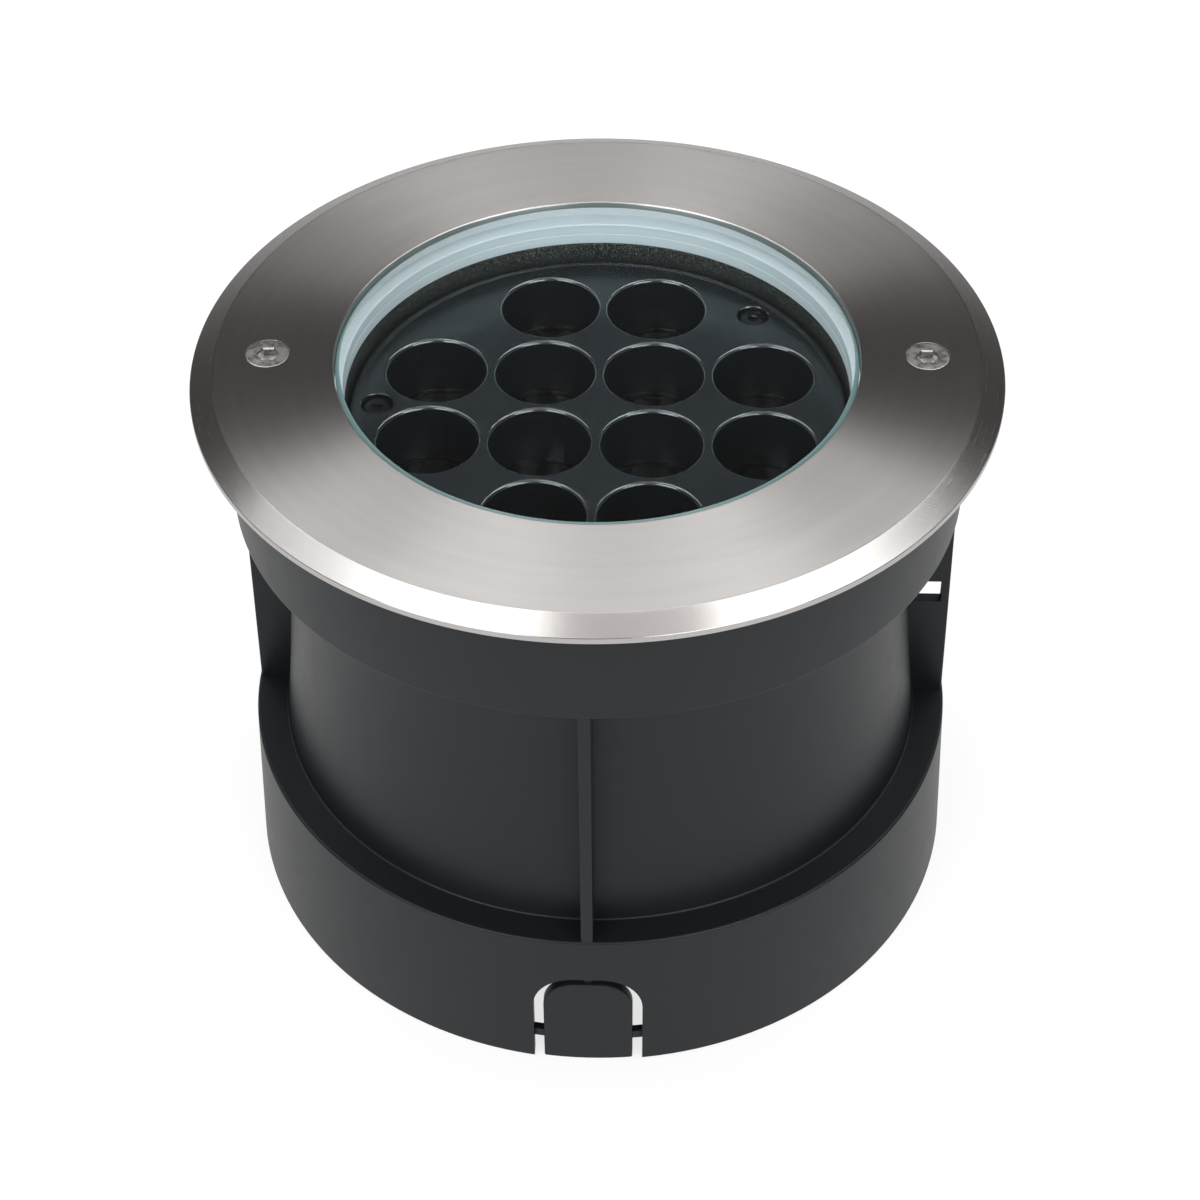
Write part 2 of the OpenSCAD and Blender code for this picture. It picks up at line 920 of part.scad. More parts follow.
module gland_locknut() {
    color("#8e9092")
        at_gland()
            difference() {
                translate([0, 0, floor_z])
                    hexagon(locknut_hex, locknut_h);
                translate([0, 0, floor_z - over])
                    cylinder(h = locknut_h + 2 * over, r = gland_thread_r + fixed_play);
            }
}

module gland_seal() {
    color("#26282a")
        at_gland()
            ring(seal_bore_r, seal_r, gland_seal_z, seal_len);
}

module gland_gasket() {
    color("#26282a")
        at_gland()
            ring(gland_thread_r + fixed_play, gland_gasket_r, gasket_z, gland_gasket_t);
}

// LED module, from the louvre plate down to the heat sink

function rim_arc(a) = [well_r + well_rim * (1 - cos(a)), plate_top_z - well_rim * (1 - sin(a))];

module well_cutter() {
    rotate_extrude()
        polygon(concat(
            [[0, tube_z - over], [well_r, tube_z - over]],
            [for (a = [0:15:90]) rim_arc(a)],
            [[well_r + well_rim, plate_top_z + over], [0, plate_top_z + over]]
        ));
}

module louvre_plate() {
    color("#343739")
        difference() {
            union() {
                rotate_extrude()
                    polygon([
                        [0, plate_z], [plate_r, plate_z], [plate_r, plate_top_z - plate_chamfer],
                        [plate_r - plate_chamfer, plate_top_z], [0, plate_top_z]
                    ]);
                at_wells()
                    translate([0, 0, tube_z])
                        cylinder(h = plate_z - tube_z + sink, r = tube_r);
                at_cups()
                    translate([0, 0, plate_top_z - cup_len])
                        cylinder(h = cup_len - sink, r = cup_r);
            }
            at_wells()
                well_cutter();
            at_cups() {
                translate([0, 0, plate_top_z - recess_h])
                    cylinder(h = recess_h + over, r = recess_r);
                translate([0, 0, plate_top_z - cup_len - over])
                    cylinder(h = cup_len + over, r = m3_hole);
            }
        }
}

module plate_screws() {
    color("#1d1e20")
        at_cups()
            translate([0, 0, plate_top_z - recess_h])
                pan_screw(plate_head_r, plate_head_h, m3, plate_screw_len, m3_socket, m3_socket_h);
}

lens_top_r = tube_r - cup_play - cup_wall - lens_side_play;
lens_z = holder_top_z - lens_foot_drop;
function lens_r(t) = lens_foot_r + (lens_top_r - lens_foot_r) * pow(t, lens_power);

module lenses() {
    color("#aeb6b8", 0.5)
        at_wells()
            rotate_extrude()
                polygon(concat(
                    [[0, lens_z + lens_recess_h], [lens_recess_r, lens_z + lens_recess_h],
                        [lens_recess_r, lens_z]],
                    [for (i = [0:lens_steps])
                        let (t = i / lens_steps) [lens_r(t), lens_z + t * (cup_top_z - lens_z)]],
                    [[tube_r - cup_play, cup_top_z], [tube_r - cup_play, tube_z], [0, tube_z]]
                ));
}

module lens_holder() {
    cup_out_r = tube_r - cup_play;
    post_top_z = plate_top_z - cup_len;
    color("#1f2022")
        difference() {
            union() {
                translate([0, 0, board_top_z])
                    cylinder(h = holder_t, r = board_r - sink_edge);
                at_wells()
                    translate([0, 0, board_top_z])
                        cylinder(h = cup_top_z - board_top_z, r = cup_out_r);
                at_cups() {
                    translate([0, 0, board_top_z])
                        cylinder(h = holder_t, r = lobe_r);
                    translate([0, 0, board_top_z + sink])
                        cylinder(h = post_top_z - board_top_z - sink, r = holder_post_r);
                }
            }
            at_wells() {
                translate([0, 0, holder_top_z])
                    cylinder(h = cup_h + over, r = cup_out_r - cup_wall);
                translate([0, 0, board_top_z - over])
                    cylinder(h = holder_t + 2 * over, r = lens_hole_r);
            }
            at_cups()
                translate([0, 0, plate_top_z - recess_h - plate_screw_len - over])
                    cylinder(h = plate_screw_len + over, r = m3 + fixed_play);
            at_board_screws()
                translate([0, 0, board_top_z - over])
                    cylinder(h = holder_t + 2 * over, r = m3_hole);
        }
}

module led_board() {
    color("#e6e8e6")
        difference() {
            translate([0, 0, sink_top_z])
                cylinder(h = board_t, r = board_r);
            at_board_screws()
                translate([0, 0, sink_top_z - over])
                    cylinder(h = board_t + 2 * over, r = m3_hole);
        }
}

module leds() {
    color("#e8d98a")
        at_wells()
            translate([0, 0, board_top_z]) {
                translate([-led_w / 2, -led_w / 2, 0])
                    cube([led_w, led_w, led_t]);
                intersection() {
                    translate([0, 0, led_t - dome_sink])
                        sphere(r = dome_r);
                    translate([-led_w / 2, -led_w / 2, led_t / 2])
                        cube([led_w, led_w, 2 * dome_r]);
                }
            }
}

module heat_sink() {
    fin_count = floor((fin_r - fin_t) / fin_pitch);
    color("#a7abad")
        difference() {
            union() {
                translate([0, 0, sink_z])
                    cylinder(h = sink_t, r = sink_r);
                for (i = [-fin_count:fin_count]) {
                    half_len = sqrt(pow(fin_r, 2) - pow(i * fin_pitch, 2));
                    translate([i * fin_pitch - fin_t / 2, -half_len, fin_z])
                        cube([fin_t, 2 * half_len, fin_h + sink]);
                }
                translate([-sink_tab, -ear_out, sink_z])
                    cube([2 * sink_tab, 2 * ear_out, sink_t]);
                for (side = [0, 180])
                    rotate(side)
                        translate([0, ear_out, 0])
                            rotate([90, 0, 0])
                                linear_extrude(height = ear_t) {
                                    translate([0, pivot_z])
                                        circle(r = ear_r);
                                    translate([-ear_r, sink_top_z - sink])
                                        square([2 * ear_r, pivot_z - sink_top_z + sink]);
                                }
            }
            translate([0, ear_out + over, pivot_z])
                rotate([90, 0, 0])
                    cylinder(h = 2 * (ear_out + over), r = m3 + fixed_play);
            at_board_screws()
                translate([0, 0, sink_z + board_screw_tip - face_play])
                    cylinder(h = sink_t, r = m3 + fixed_play);
        }
}

module board_screws() {
    color("#9b9b9a")
        at_board_screws()
            translate([0, 0, holder_top_z])
                pan_screw(m3_head, m3_head_h, m3, holder_top_z - sink_z - board_screw_tip,
                    m3_socket, m3_socket_h);
}

installation_sleeve();
thread_inserts();
trim_ring();
trim_screws();
clamp_ring();
clamp_screws();
glass_lens();
glass_gasket();
housing();
flange_seal();
tilt_yoke();
yoke_screws();
pivot_washers();
driver_case();
driver_lid();
driver_board();
driver_screws();
terminal_block();
gland_body();
gland_cap();
gland_locknut();
gland_seal();
gland_gasket();
louvre_plate();
plate_screws();
lenses();
lens_holder();
led_board();
leds();
heat_sink();
board_screws();
pivot_screws();
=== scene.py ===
# In ground well light: a steel trim ring, a thick safety glass and a tilting LED module with deep wells,
# in a black installation sleeve. All lengths are in metres, and MM turns millimetres into them.
import json
import math

import bmesh
import bpy
from mathutils import Matrix, Vector


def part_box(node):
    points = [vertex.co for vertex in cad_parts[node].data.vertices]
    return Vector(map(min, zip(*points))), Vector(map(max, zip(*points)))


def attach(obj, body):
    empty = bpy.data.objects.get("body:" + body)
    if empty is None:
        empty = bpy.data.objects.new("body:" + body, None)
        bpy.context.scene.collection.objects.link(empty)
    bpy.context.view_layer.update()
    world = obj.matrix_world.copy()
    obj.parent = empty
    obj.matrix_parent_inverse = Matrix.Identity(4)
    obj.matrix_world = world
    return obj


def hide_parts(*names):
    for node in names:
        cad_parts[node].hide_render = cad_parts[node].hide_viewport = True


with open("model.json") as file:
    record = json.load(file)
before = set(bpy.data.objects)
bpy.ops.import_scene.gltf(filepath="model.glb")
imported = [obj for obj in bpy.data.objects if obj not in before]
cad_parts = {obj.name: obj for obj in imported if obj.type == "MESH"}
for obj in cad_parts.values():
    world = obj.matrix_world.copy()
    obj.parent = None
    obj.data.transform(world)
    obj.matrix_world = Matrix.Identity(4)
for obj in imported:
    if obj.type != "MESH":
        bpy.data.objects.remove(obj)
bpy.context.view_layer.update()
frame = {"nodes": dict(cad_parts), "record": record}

MM = 0.001
COLOURS = {entry["slot"]: entry["base_color"] for entry in frame["record"]["materials"]}

# Finer tones than the record's plain colours
COLOURS["louvre_finish"] = (0.010, 0.0135, 0.016)
COLOURS["silicone"] = (0.86, 0.95, 0.98)
COLOURS["black_steel"] = (0.008, 0.008, 0.009)

# Camera: where the photograph was taken from, its look down, roll and turn round the object
CAMERA_PLACE = (18.5 * MM, -438.3 * MM, 474.1 * MM)
CAMERA_DOWN = math.radians(42.886)
CAMERA_ROLL = math.radians(-0.54)
CAMERA_TURN = math.radians(2.4)
CAMERA_FOCUS = 74.16
SENSOR = 36

# Segments round a turned piece, from the largest pieces to the smallest, and of a hexagon
LARGE_ROUND = 192
WIDE_ROUND = 96
MIDDLE_ROUND = 64
SMALL_ROUND = 48
HEXAGON = 6

# Steps in a fillet, the share of a side that it may take, and steps in an eased edge
FILLET_STEPS = 4
FILLET_SHARE = 0.49
EASED_STEPS = 2

# What counts as a crease, as one point and as flat, and how much large faces lead the shading
CREASE = math.radians(32)
MERGE = 1e-7
CAD_MERGE = 2e-6
FLAT = math.radians(1)
FACE_WEIGHT = 60

# Edge roundings, from the finest to the widest
HAIR_EDGE = 0.1 * MM
KEEN_EDGE = 0.15 * MM
FINE_EDGE = 0.2 * MM
SLIGHT_EDGE = 0.25 * MM
EDGE = 0.3 * MM
EASY_EDGE = 0.35 * MM
SOFT_EDGE = 0.4 * MM
FULL_EDGE = 0.5 * MM
CAST_EDGE = 0.8 * MM
WIDE_EDGE = 1 * MM

# Overlap of joined shapes and overrun of cuts
SINK = 0.8 * MM
OVER = 1 * MM

# Heights that the frame gives, and what follows from them
TRIM_LOW, TRIM_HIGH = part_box("trim_ring")
GLASS_LOW, GLASS_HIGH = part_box("glass_lens")
HOUSING_LOW, HOUSING_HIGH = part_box("housing")
PLATE_LOW, PLATE_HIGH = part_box("louvre_plate")
SEAL_LOW, SEAL_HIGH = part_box("flange_seal")
GASKET_LOW, GASKET_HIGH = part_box("glass_gasket")
LENS_LOW, LENS_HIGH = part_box("lenses")
BOARD_LOW, BOARD_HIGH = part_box("led_board")
HOLDER_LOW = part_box("lens_holder")[0]
SINK_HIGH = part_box("heat_sink")[1]
YOKE_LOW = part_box("tilt_yoke")[0]
TOP_Z = TRIM_HIGH.z
TRIM_Z = TRIM_LOW.z
SEAT_Z = SEAL_LOW.z
FLANGE_Z = SEAL_HIGH.z
GLASS_TOP_Z = GLASS_HIGH.z
PLATE_TOP_Z = PLATE_HIGH.z
TUBE_Z = PLATE_LOW.z
CAN_Z = HOUSING_LOW.z
FLOOR_Z = CAN_Z + 4 * MM
GLASS_STEP_Z = GASKET_HIGH.z - 0.9 * MM

# Screws: radii of shank, of the hole that takes the thread and of the free hole, head, socket and pitch
M3_R = 1.5 * MM
M3_TAP_R = 1.52 * MM
M3_FREE_R = 1.7 * MM
M3_HEAD_R = 2.75 * MM
M3_SOCKET = (2 * MM, 0.9 * MM)
M3_PITCH = 0.5 * MM
M4_TAP_R = 2.02 * MM
M5_R = 2.5 * MM
M5_FREE_R = 2.75 * MM
M5_HEAD_R = 4.85 * MM
M5_SOCKET = (4 * MM, 2.1 * MM)
M5_PITCH = 0.8 * MM

# Places that several pieces share
TRIM_R = 90 * MM
COLLAR_R = TRIM_R - 6.8 * MM
COLLAR_IN_R = COLLAR_R - 4 * MM
FLANGE_R = COLLAR_IN_R - 0.7 * MM
TRIM_SCREW_R = 73 * MM
TRIM_SCREW_COUNT = 2
TRIM_SCREW_STEP = math.radians(182.3)
CLAMP_SCREW_R = 70 * MM
CLAMP_SCREW_COUNT = 8
BOARD_SCREW_COUNT = 4
GLASS_R = 58 * MM
BORE_R = 57 * MM
LED_PITCH = 25 * MM
WELL_ROWS = 4
WELL_REACH = 45 * MM
CUP_FIRST = math.radians(45)
CUP_STEP = math.radians(135)
CUP_COUNT = 3
CUP_RING_R = 50 * MM
CUP_LEN = 6 * MM
RECESS_H = 3 * MM
PLATE_SCREW_LEN = 14 * MM
GLAND_PLACE = Vector((-28 * MM, -36 * MM, 0))


# Node building, for materials and Geometry Nodes alike

def feed(tree, node, wires):
    """Feeds a node's inputs, each from a socket or with a plain value."""
    for key, value in wires.items():
        if isinstance(value, bpy.types.NodeSocket):
            tree.links.new(value, node.inputs[key])
        else:
            node.inputs[key].default_value = value
    return node


def put(tree, kind, wires=None, **settings):
    """Adds a node, sets its options and feeds its inputs."""
    node = tree.nodes.new(kind)
    for name, value in settings.items():
        setattr(node, name, value)
    return feed(tree, node, wires or {})


def sum_of(tree, kind, first, second):
    """The result of one sum on two numbers, which may be sockets."""
    return put(tree, "ShaderNodeMath", {0: first, 1: second}, operation=kind).outputs[0]


def new_growth(name, inputs):
    """A Geometry Nodes tree with a Shape input, named size inputs, and its input node's sockets."""
    tree = bpy.data.node_groups.new(name, "GeometryNodeTree")
    tree.is_modifier = True
    tree.interface.new_socket("Shape", in_out="INPUT", socket_type="NodeSocketGeometry")
    for label, kind in inputs.items():
        tree.interface.new_socket(label, in_out="INPUT", socket_type="NodeSocket" + kind)
    tree.interface.new_socket("Material", in_out="INPUT", socket_type="NodeSocketMaterial")
    tree.interface.new_socket("Piece", in_out="OUTPUT", socket_type="NodeSocketGeometry")
    return tree, put(tree, "NodeGroupInput").outputs


def close_growth(tree, given, geometry):
    """Ends a tree in Realize Instances and Set Material."""
    real = put(tree, "GeometryNodeRealizeInstances", {"Geometry": geometry}).outputs["Geometry"]
    painted = put(tree, "GeometryNodeSetMaterial", {"Geometry": real, "Material": given["Material"]})
    put(tree, "NodeGroupOutput", {"Piece": painted.outputs["Geometry"]})
    return tree


def grow_turned():
    """Turns an outline, a line of points in the XZ plane, about Z into a skin of Segments columns."""
    tree, given = new_growth("turned outline", {"Segments": "Int"})
    size = put(tree, "GeometryNodeAttributeDomainSize", {"Geometry": given["Shape"]})
    count = size.outputs["Point Count"]
    columns = sum_of(tree, "ADD", given["Segments"], 1)
    grid = put(tree, "GeometryNodeMeshGrid", {"Vertices X": columns, "Vertices Y": count})
    index = put(tree, "GeometryNodeInputIndex").outputs["Index"]
    row = sum_of(tree, "MODULO", index, count)
    column = put(tree, "ShaderNodeMath", {0: sum_of(tree, "DIVIDE", index, count)}, operation="FLOOR")
    share = sum_of(tree, "DIVIDE", column.outputs[0], given["Segments"])
    angle = sum_of(tree, "MULTIPLY", share, math.tau)
    place = put(tree, "GeometryNodeInputPosition").outputs["Position"]
    point = put(tree, "GeometryNodeSampleIndex", {"Geometry": given["Shape"], "Index": row},
                data_type="FLOAT_VECTOR")
    feed(tree, point, {"Value": place})
    turned = put(tree, "ShaderNodeVectorRotate",
                 {"Vector": point.outputs["Value"], "Axis": (0, 0, 1), "Angle": angle})
    moved = put(tree, "GeometryNodeSetPosition",
                {"Geometry": grid.outputs["Mesh"], "Position": turned.outputs["Vector"]})
    merged = put(tree, "GeometryNodeMergeByDistance",
                 {"Geometry": moved.outputs["Geometry"], "Distance": MERGE})
    return close_growth(tree, given, merged.outputs["Geometry"])


def grow_ring():
    """Repeats a shape Count times about Z, from the First angle on, a Step apart."""
    tree, given = new_growth("ring of pieces", {"Count": "Int", "First": "Float", "Step": "Float"})
    line = put(tree, "GeometryNodeMeshLine", {"Count": given["Count"], "Offset": (0, 0, 0)})
    index = put(tree, "GeometryNodeInputIndex").outputs["Index"]
    angle = sum_of(tree, "ADD", sum_of(tree, "MULTIPLY", index, given["Step"]), given["First"])
    turn = put(tree, "FunctionNodeAxisAngleToRotation", {"Axis": (0, 0, 1), "Angle": angle})
    copies = put(tree, "GeometryNodeInstanceOnPoints",
                 {"Points": line.outputs["Mesh"], "Instance": given["Shape"],
                  "Rotation": turn.outputs["Rotation"]})
    return close_growth(tree, given, copies.outputs["Instances"])


def grow_grid():
    """Repeats a shape in Columns by Rows, and leaves out the places past the Reach from the middle."""
    tree, given = new_growth("grid of pieces", {"Columns": "Int", "Rows": "Int", "Column pitch": "Float",
                                                "Row pitch": "Float", "Reach": "Float"})
    width = sum_of(tree, "MULTIPLY", sum_of(tree, "SUBTRACT", given["Columns"], 1), given["Column pitch"])
    depth = sum_of(tree, "MULTIPLY", sum_of(tree, "SUBTRACT", given["Rows"], 1), given["Row pitch"])
    grid = put(tree, "GeometryNodeMeshGrid", {"Size X": width, "Size Y": depth,
                                              "Vertices X": given["Columns"], "Vertices Y": given["Rows"]})
    place = put(tree, "GeometryNodeInputPosition").outputs["Position"]
    reach = put(tree, "ShaderNodeVectorMath", {0: place}, operation="LENGTH").outputs["Value"]
    past = sum_of(tree, "GREATER_THAN", reach, given["Reach"])
    kept = put(tree, "GeometryNodeDeleteGeometry", {"Geometry": grid.outputs["Mesh"], "Selection": past},
               domain="POINT")
    copies = put(tree, "GeometryNodeInstanceOnPoints",
                 {"Points": kept.outputs["Geometry"], "Instance": given["Shape"]})
    return close_growth(tree, given, copies.outputs["Instances"])


def grow_fins():
    """Sets Count fins side by side at a Pitch, each as long as the circle of the Radius is there."""
    tree, given = new_growth("cooling fins", {"Count": "Int", "Pitch": "Float", "Radius": "Float"})
    line = put(tree, "GeometryNodeMeshLine", {"Count": given["Count"], "Offset": (0, 0, 0)})
    index = put(tree, "GeometryNodeInputIndex").outputs["Index"]
    middle = sum_of(tree, "DIVIDE", sum_of(tree, "SUBTRACT", given["Count"], 1), 2)
    side = sum_of(tree, "MULTIPLY", sum_of(tree, "SUBTRACT", index, middle), given["Pitch"])
    square = sum_of(tree, "SUBTRACT", sum_of(tree, "POWER", given["Radius"], 2),
                    sum_of(tree, "MULTIPLY", side, side))
    half = put(tree, "ShaderNodeMath", {0: square}, operation="SQRT").outputs[0]
    place = put(tree, "ShaderNodeCombineXYZ", {"X": side}).outputs["Vector"]
    size = put(tree, "ShaderNodeCombineXYZ", {"X": 1, "Y": half, "Z": 1}).outputs["Vector"]
    moved = put(tree, "GeometryNodeSetPosition", {"Geometry": line.outputs["Mesh"], "Position": place})
    copies = put(tree, "GeometryNodeInstanceOnPoints",
                 {"Points": moved.outputs["Geometry"], "Instance": given["Shape"], "Scale": size})
    return close_growth(tree, given, copies.outputs["Instances"])


TURNED = grow_turned()
RING = grow_ring()
GRID = grow_grid()
FINS = grow_fins()


# Shapes

def new_object(name, mesh):
    """A mesh object at the origin."""
    obj = bpy.data.objects.new(name, mesh)
    bpy.context.scene.collection.objects.link(obj)
    return obj


def settled(obj):
    """Applies an object's modifiers, so that the result is its own plain mesh."""
    seen = obj.evaluated_get(bpy.context.evaluated_depsgraph_get())
    mesh = bpy.data.meshes.new_from_object(seen)
    obj.modifiers.clear()
    obj.data = mesh
    return obj


def grown(obj, tree, **values):
    """Grows an object through a Geometry Nodes tree, with its inputs set by their identifiers."""
    modifier = obj.modifiers.new("growth", "NODES")
    modifier.node_group = tree
    for socket in tree.interface.items_tree:
        key = socket.name.replace(" ", "_")
        if key in values:
            modifier[socket.identifier] = values[key]
    return settled(obj)


def tidied(obj):
    """Merges what coincides and points every face outwards."""
    work = bmesh.new()
    work.from_mesh(obj.data)
    bmesh.ops.remove_doubles(work, verts=work.verts, dist=MERGE)
    bmesh.ops.dissolve_degenerate(work, dist=MERGE, edges=work.edges)
    bmesh.ops.recalc_face_normals(work, faces=work.faces)
    work.to_mesh(obj.data)
    work.free()
    return obj


def rounded(corners, closed=True, steps=FILLET_STEPS):
    """An outline's points from its corners (x, z, fillet radius), each fillet as an arc."""
    points = []
    for i, (x, z, fillet) in enumerate(corners):
        corner = Vector((x, z))
        if not fillet:
            points.append(corner)
            continue
        back = Vector(corners[i - 1][:2]) - corner
        ahead = Vector(corners[(i + 1) % len(corners)][:2]) - corner
        half = back.angle(ahead) / 2
        reach = min(fillet / math.tan(half), FILLET_SHARE * back.length, FILLET_SHARE * ahead.length)
        middle = (back.normalized() + ahead.normalized()).normalized()
        centre = corner + middle * reach / math.cos(half)
        start = corner + back.normalized() * reach - centre
        end = corner + ahead.normalized() * reach - centre
        sweep = start.angle(end)
        for step in range(steps + 1):
            t = step / steps
            arc = start * math.sin((1 - t) * sweep) + end * math.sin(t * sweep)
            points.append(centre + arc / math.sin(sweep))
    if closed:
        points.append(points[0].copy())
    return points


def turned(name, corners, closed=True, segments=LARGE_ROUND, steps=FILLET_STEPS):
    """A piece turned on a lathe: closed for a ring, open for an outline that starts and ends on the axis."""
    points = rounded(corners, closed, steps)
    mesh = bpy.data.meshes.new(name)
    mesh.from_pydata([(x, 0, z) for x, z in points], [(i, i + 1) for i in range(len(points) - 1)], [])
    return tidied(grown(new_object(name, mesh), TURNED, Segments=segments))


def pipe(name, in_r, out_r, low, high, fillet=0.0, segments=LARGE_ROUND):
    """A round pipe, or a washer, with its four edges rounded alike."""
    return turned(name, [(in_r, low, fillet), (out_r, low, fillet), (out_r, high, fillet),
                         (in_r, high, fillet)], segments=segments)


def rod(name, radius, low, high, fillet=0.0, segments=SMALL_ROUND):
    """A round rod on the Z axis, with its two edges rounded alike."""
    return turned(name, [(0, low, 0), (radius, low, fillet), (radius, high, fillet), (0, high, 0)],
                  closed=False, segments=segments)


def through(name, radius, low, high, segments=SMALL_ROUND):
    """A cutter for a round hole right through a piece, from its foot to its top."""
    return rod(name, radius, low - OVER, high + OVER, segments=segments)


def prism(name, corners, near, far, steps=FILLET_STEPS):
    """An outline in the XZ plane, drawn out along Y from near to far."""
    points = rounded(corners, False, steps)
    work = bmesh.new()
    face = work.faces.new([work.verts.new((x, near, z)) for x, z in points])
    drawn = bmesh.ops.extrude_face_region(work, geom=[face])["geom"]
    corners_far = [v for v in drawn if isinstance(v, bmesh.types.BMVert)]
    bmesh.ops.translate(work, verts=corners_far, vec=(0, far - near, 0))
    mesh = bpy.data.meshes.new(name)
    work.to_mesh(mesh)
    work.free()
    return tidied(new_object(name, mesh))


def block(name, low, high, bevel=0.0):
    """A box from its lowest to its highest corner, with bevelled edges."""
    corners = [(low[0], low[2], 0), (high[0], low[2], 0), (high[0], high[2], 0), (low[0], high[2], 0)]
    obj = prism(name, corners, low[1], high[1])
    return eased(obj, bevel) if bevel else obj


def eased(obj, width, angle=40):
    """Rounds the sharp edges of a piece."""
    modifier = obj.modifiers.new("eased edges", "BEVEL")
    modifier.width = width
    modifier.segments = EASED_STEPS
    modifier.limit_method = "ANGLE"
    modifier.angle_limit = math.radians(angle)
    modifier.use_clamp_overlap = True
    return settled(obj)


def moved(obj, *steps):
    """Puts a shape's mesh through one or more matrices."""
    for step in steps:
        obj.data.transform(step)
    return obj


def shifted(obj, x=0.0, y=0.0, z=0.0):
    """Moves a shape's mesh."""
    return moved(obj, Matrix.Translation((x, y, z)))


def combined(obj, operation, *others):
    """Joins, cuts or crosses a shape with others, which are used up."""
    for other in others:
        modifier = obj.modifiers.new("combination", "BOOLEAN")
        modifier.operation = operation
        modifier.solver = "MANIFOLD"
        modifier.object = other
        settled(obj)
        bpy.data.objects.remove(other)
    return obj


def united(obj, *others):
    """One solid from several."""
    return combined(obj, "UNION", *others)


def cut(obj, *others):
    """A solid less the others."""
    return combined(obj, "DIFFERENCE", *others)


def ringed(obj, count, first=0.0, step=None):
    """Copies of a shape about Z."""
    return grown(obj, RING, Count=count, First=first, Step=math.tau / count if step is None else step)


def gridded(obj, columns, rows, column_pitch, row_pitch, reach=1.0):
    """Copies of a shape in columns and rows."""
    return grown(obj, GRID, Columns=columns, Rows=rows, Column_pitch=column_pitch, Row_pitch=row_pitch,
                 Reach=reach)


def at_wells(obj):
    """A shape at each of the twelve wells."""
    return gridded(obj, WELL_ROWS, WELL_ROWS, LED_PITCH, LED_PITCH, WELL_REACH)


def at_cups(obj):
    """A shape at each of the louvre plate's three screws."""
    return ringed(shifted(obj, x=CUP_RING_R), CUP_COUNT, CUP_FIRST, CUP_STEP)


def at_trim_screws(obj):
    """A shape at each of the two trim screws."""
    return ringed(shifted(obj, x=TRIM_SCREW_R), TRIM_SCREW_COUNT, 0.0, TRIM_SCREW_STEP)


def at_clamp_screws(obj):
    """A shape at each of the eight clamp screws."""
    return ringed(shifted(obj, x=CLAMP_SCREW_R), CLAMP_SCREW_COUNT, math.pi / CLAMP_SCREW_COUNT)


def at_board_screws(obj):
    """A shape at each of the four screws that hold board and holder on the heat sink."""
    return ringed(shifted(obj, x=LED_PITCH), BOARD_SCREW_COUNT)


def finished(obj, name, body, slot, *nodes, painted=False):
    """Gives a piece its name, smooth shading, body and, unless it is painted already, its finish."""
    obj.name = name
    obj.data.name = name
    tidied(obj)
    if not painted:
        obj.data.materials.clear()
        obj.data.materials.append(MATERIALS[slot])
    obj.data.shade_smooth()
    obj.data.set_sharp_from_angle(angle=CREASE)
    weighted = obj.modifiers.new("weighted normals", "WEIGHTED_NORMAL")
    weighted.keep_sharp = True
    weighted.weight = FACE_WEIGHT
    settled(obj)
    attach(obj, body)
    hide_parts(*nodes)
    return obj


# Materials

def new_finish(slot, roughness, metallic=0.0, colour=None):
    """A material with its node tree, its shader and the piece's own coordinates."""
    material = bpy.data.materials.new(slot)
    material.use_nodes = True
    tree = material.node_tree
    shader = tree.nodes["Principled BSDF"]
    feed(tree, shader, {"Base Color": (*(colour or COLOURS[slot])[:3], 1), "Roughness": roughness,
                        "Metallic": metallic})
    place = put(tree, "ShaderNodeTexCoord").outputs["Object"]
    return material, tree, shader, place


def blotches(tree, place, size, detail=3.0, roughness=0.55):
    """A noise field whose blotches are about size across."""
    return put(tree, "ShaderNodeTexNoise", {"Vector": place, "Scale": 1 / size, "Detail": detail,
                                            "Roughness": roughness}).outputs["Fac"]


def spread(tree, value, low, high, start=0.3, end=0.7):
    """Maps a field from start..end onto low..high."""
    return put(tree, "ShaderNodeMapRange", {"Value": value, "From Min": start, "From Max": end,
                                            "To Min": low, "To Max": high}).outputs["Result"]


def blend(tree, factor, first, second):
    """A colour between two others."""
    mix = put(tree, "ShaderNodeMix", {"Factor": factor}, data_type="RGBA")
    return feed(tree, mix, {6: (*first, 1), 7: (*second, 1)}).outputs[2]


def height_of(tree, place):
    """The height in a set of coordinates."""
    return put(tree, "ShaderNodeSeparateXYZ", {0: place}).outputs["Z"]


def shade(tree, shader, colour, field, darker, lighter):
    """Varies a colour's brightness with a field."""
    dark = [channel * darker for channel in colour[:3]]
    light = [min(1, channel * lighter) for channel in colour[:3]]
    feed(tree, shader, {"Base Color": blend(tree, field, dark, light)})


def relief(tree, shader, height, depth):
    """Gives a surface its grain from a height field."""
    bump = put(tree, "ShaderNodeBump", {"Height": height, "Distance": depth, "Strength": 1})
    feed(tree, shader, {"Normal": bump.outputs["Normal"]})


def grained(slot, roughness, metallic, drift_w, patch_w, grain, depth, variation, contrast):
    """A finish with a fine even grain, and a faint drift in colour and gloss."""
    material, tree, shader, place = new_finish(slot, roughness, metallic)
    shade(tree, shader, COLOURS[slot], blotches(tree, place, drift_w), 1 - contrast, 1 + contrast)
    patches = blotches(tree, place, patch_w)
    feed(tree, shader, {"Roughness": spread(tree, patches, roughness - variation, roughness + variation)})
    relief(tree, shader, blotches(tree, place, grain, detail=2.0), depth)
    return material, tree, shader, place


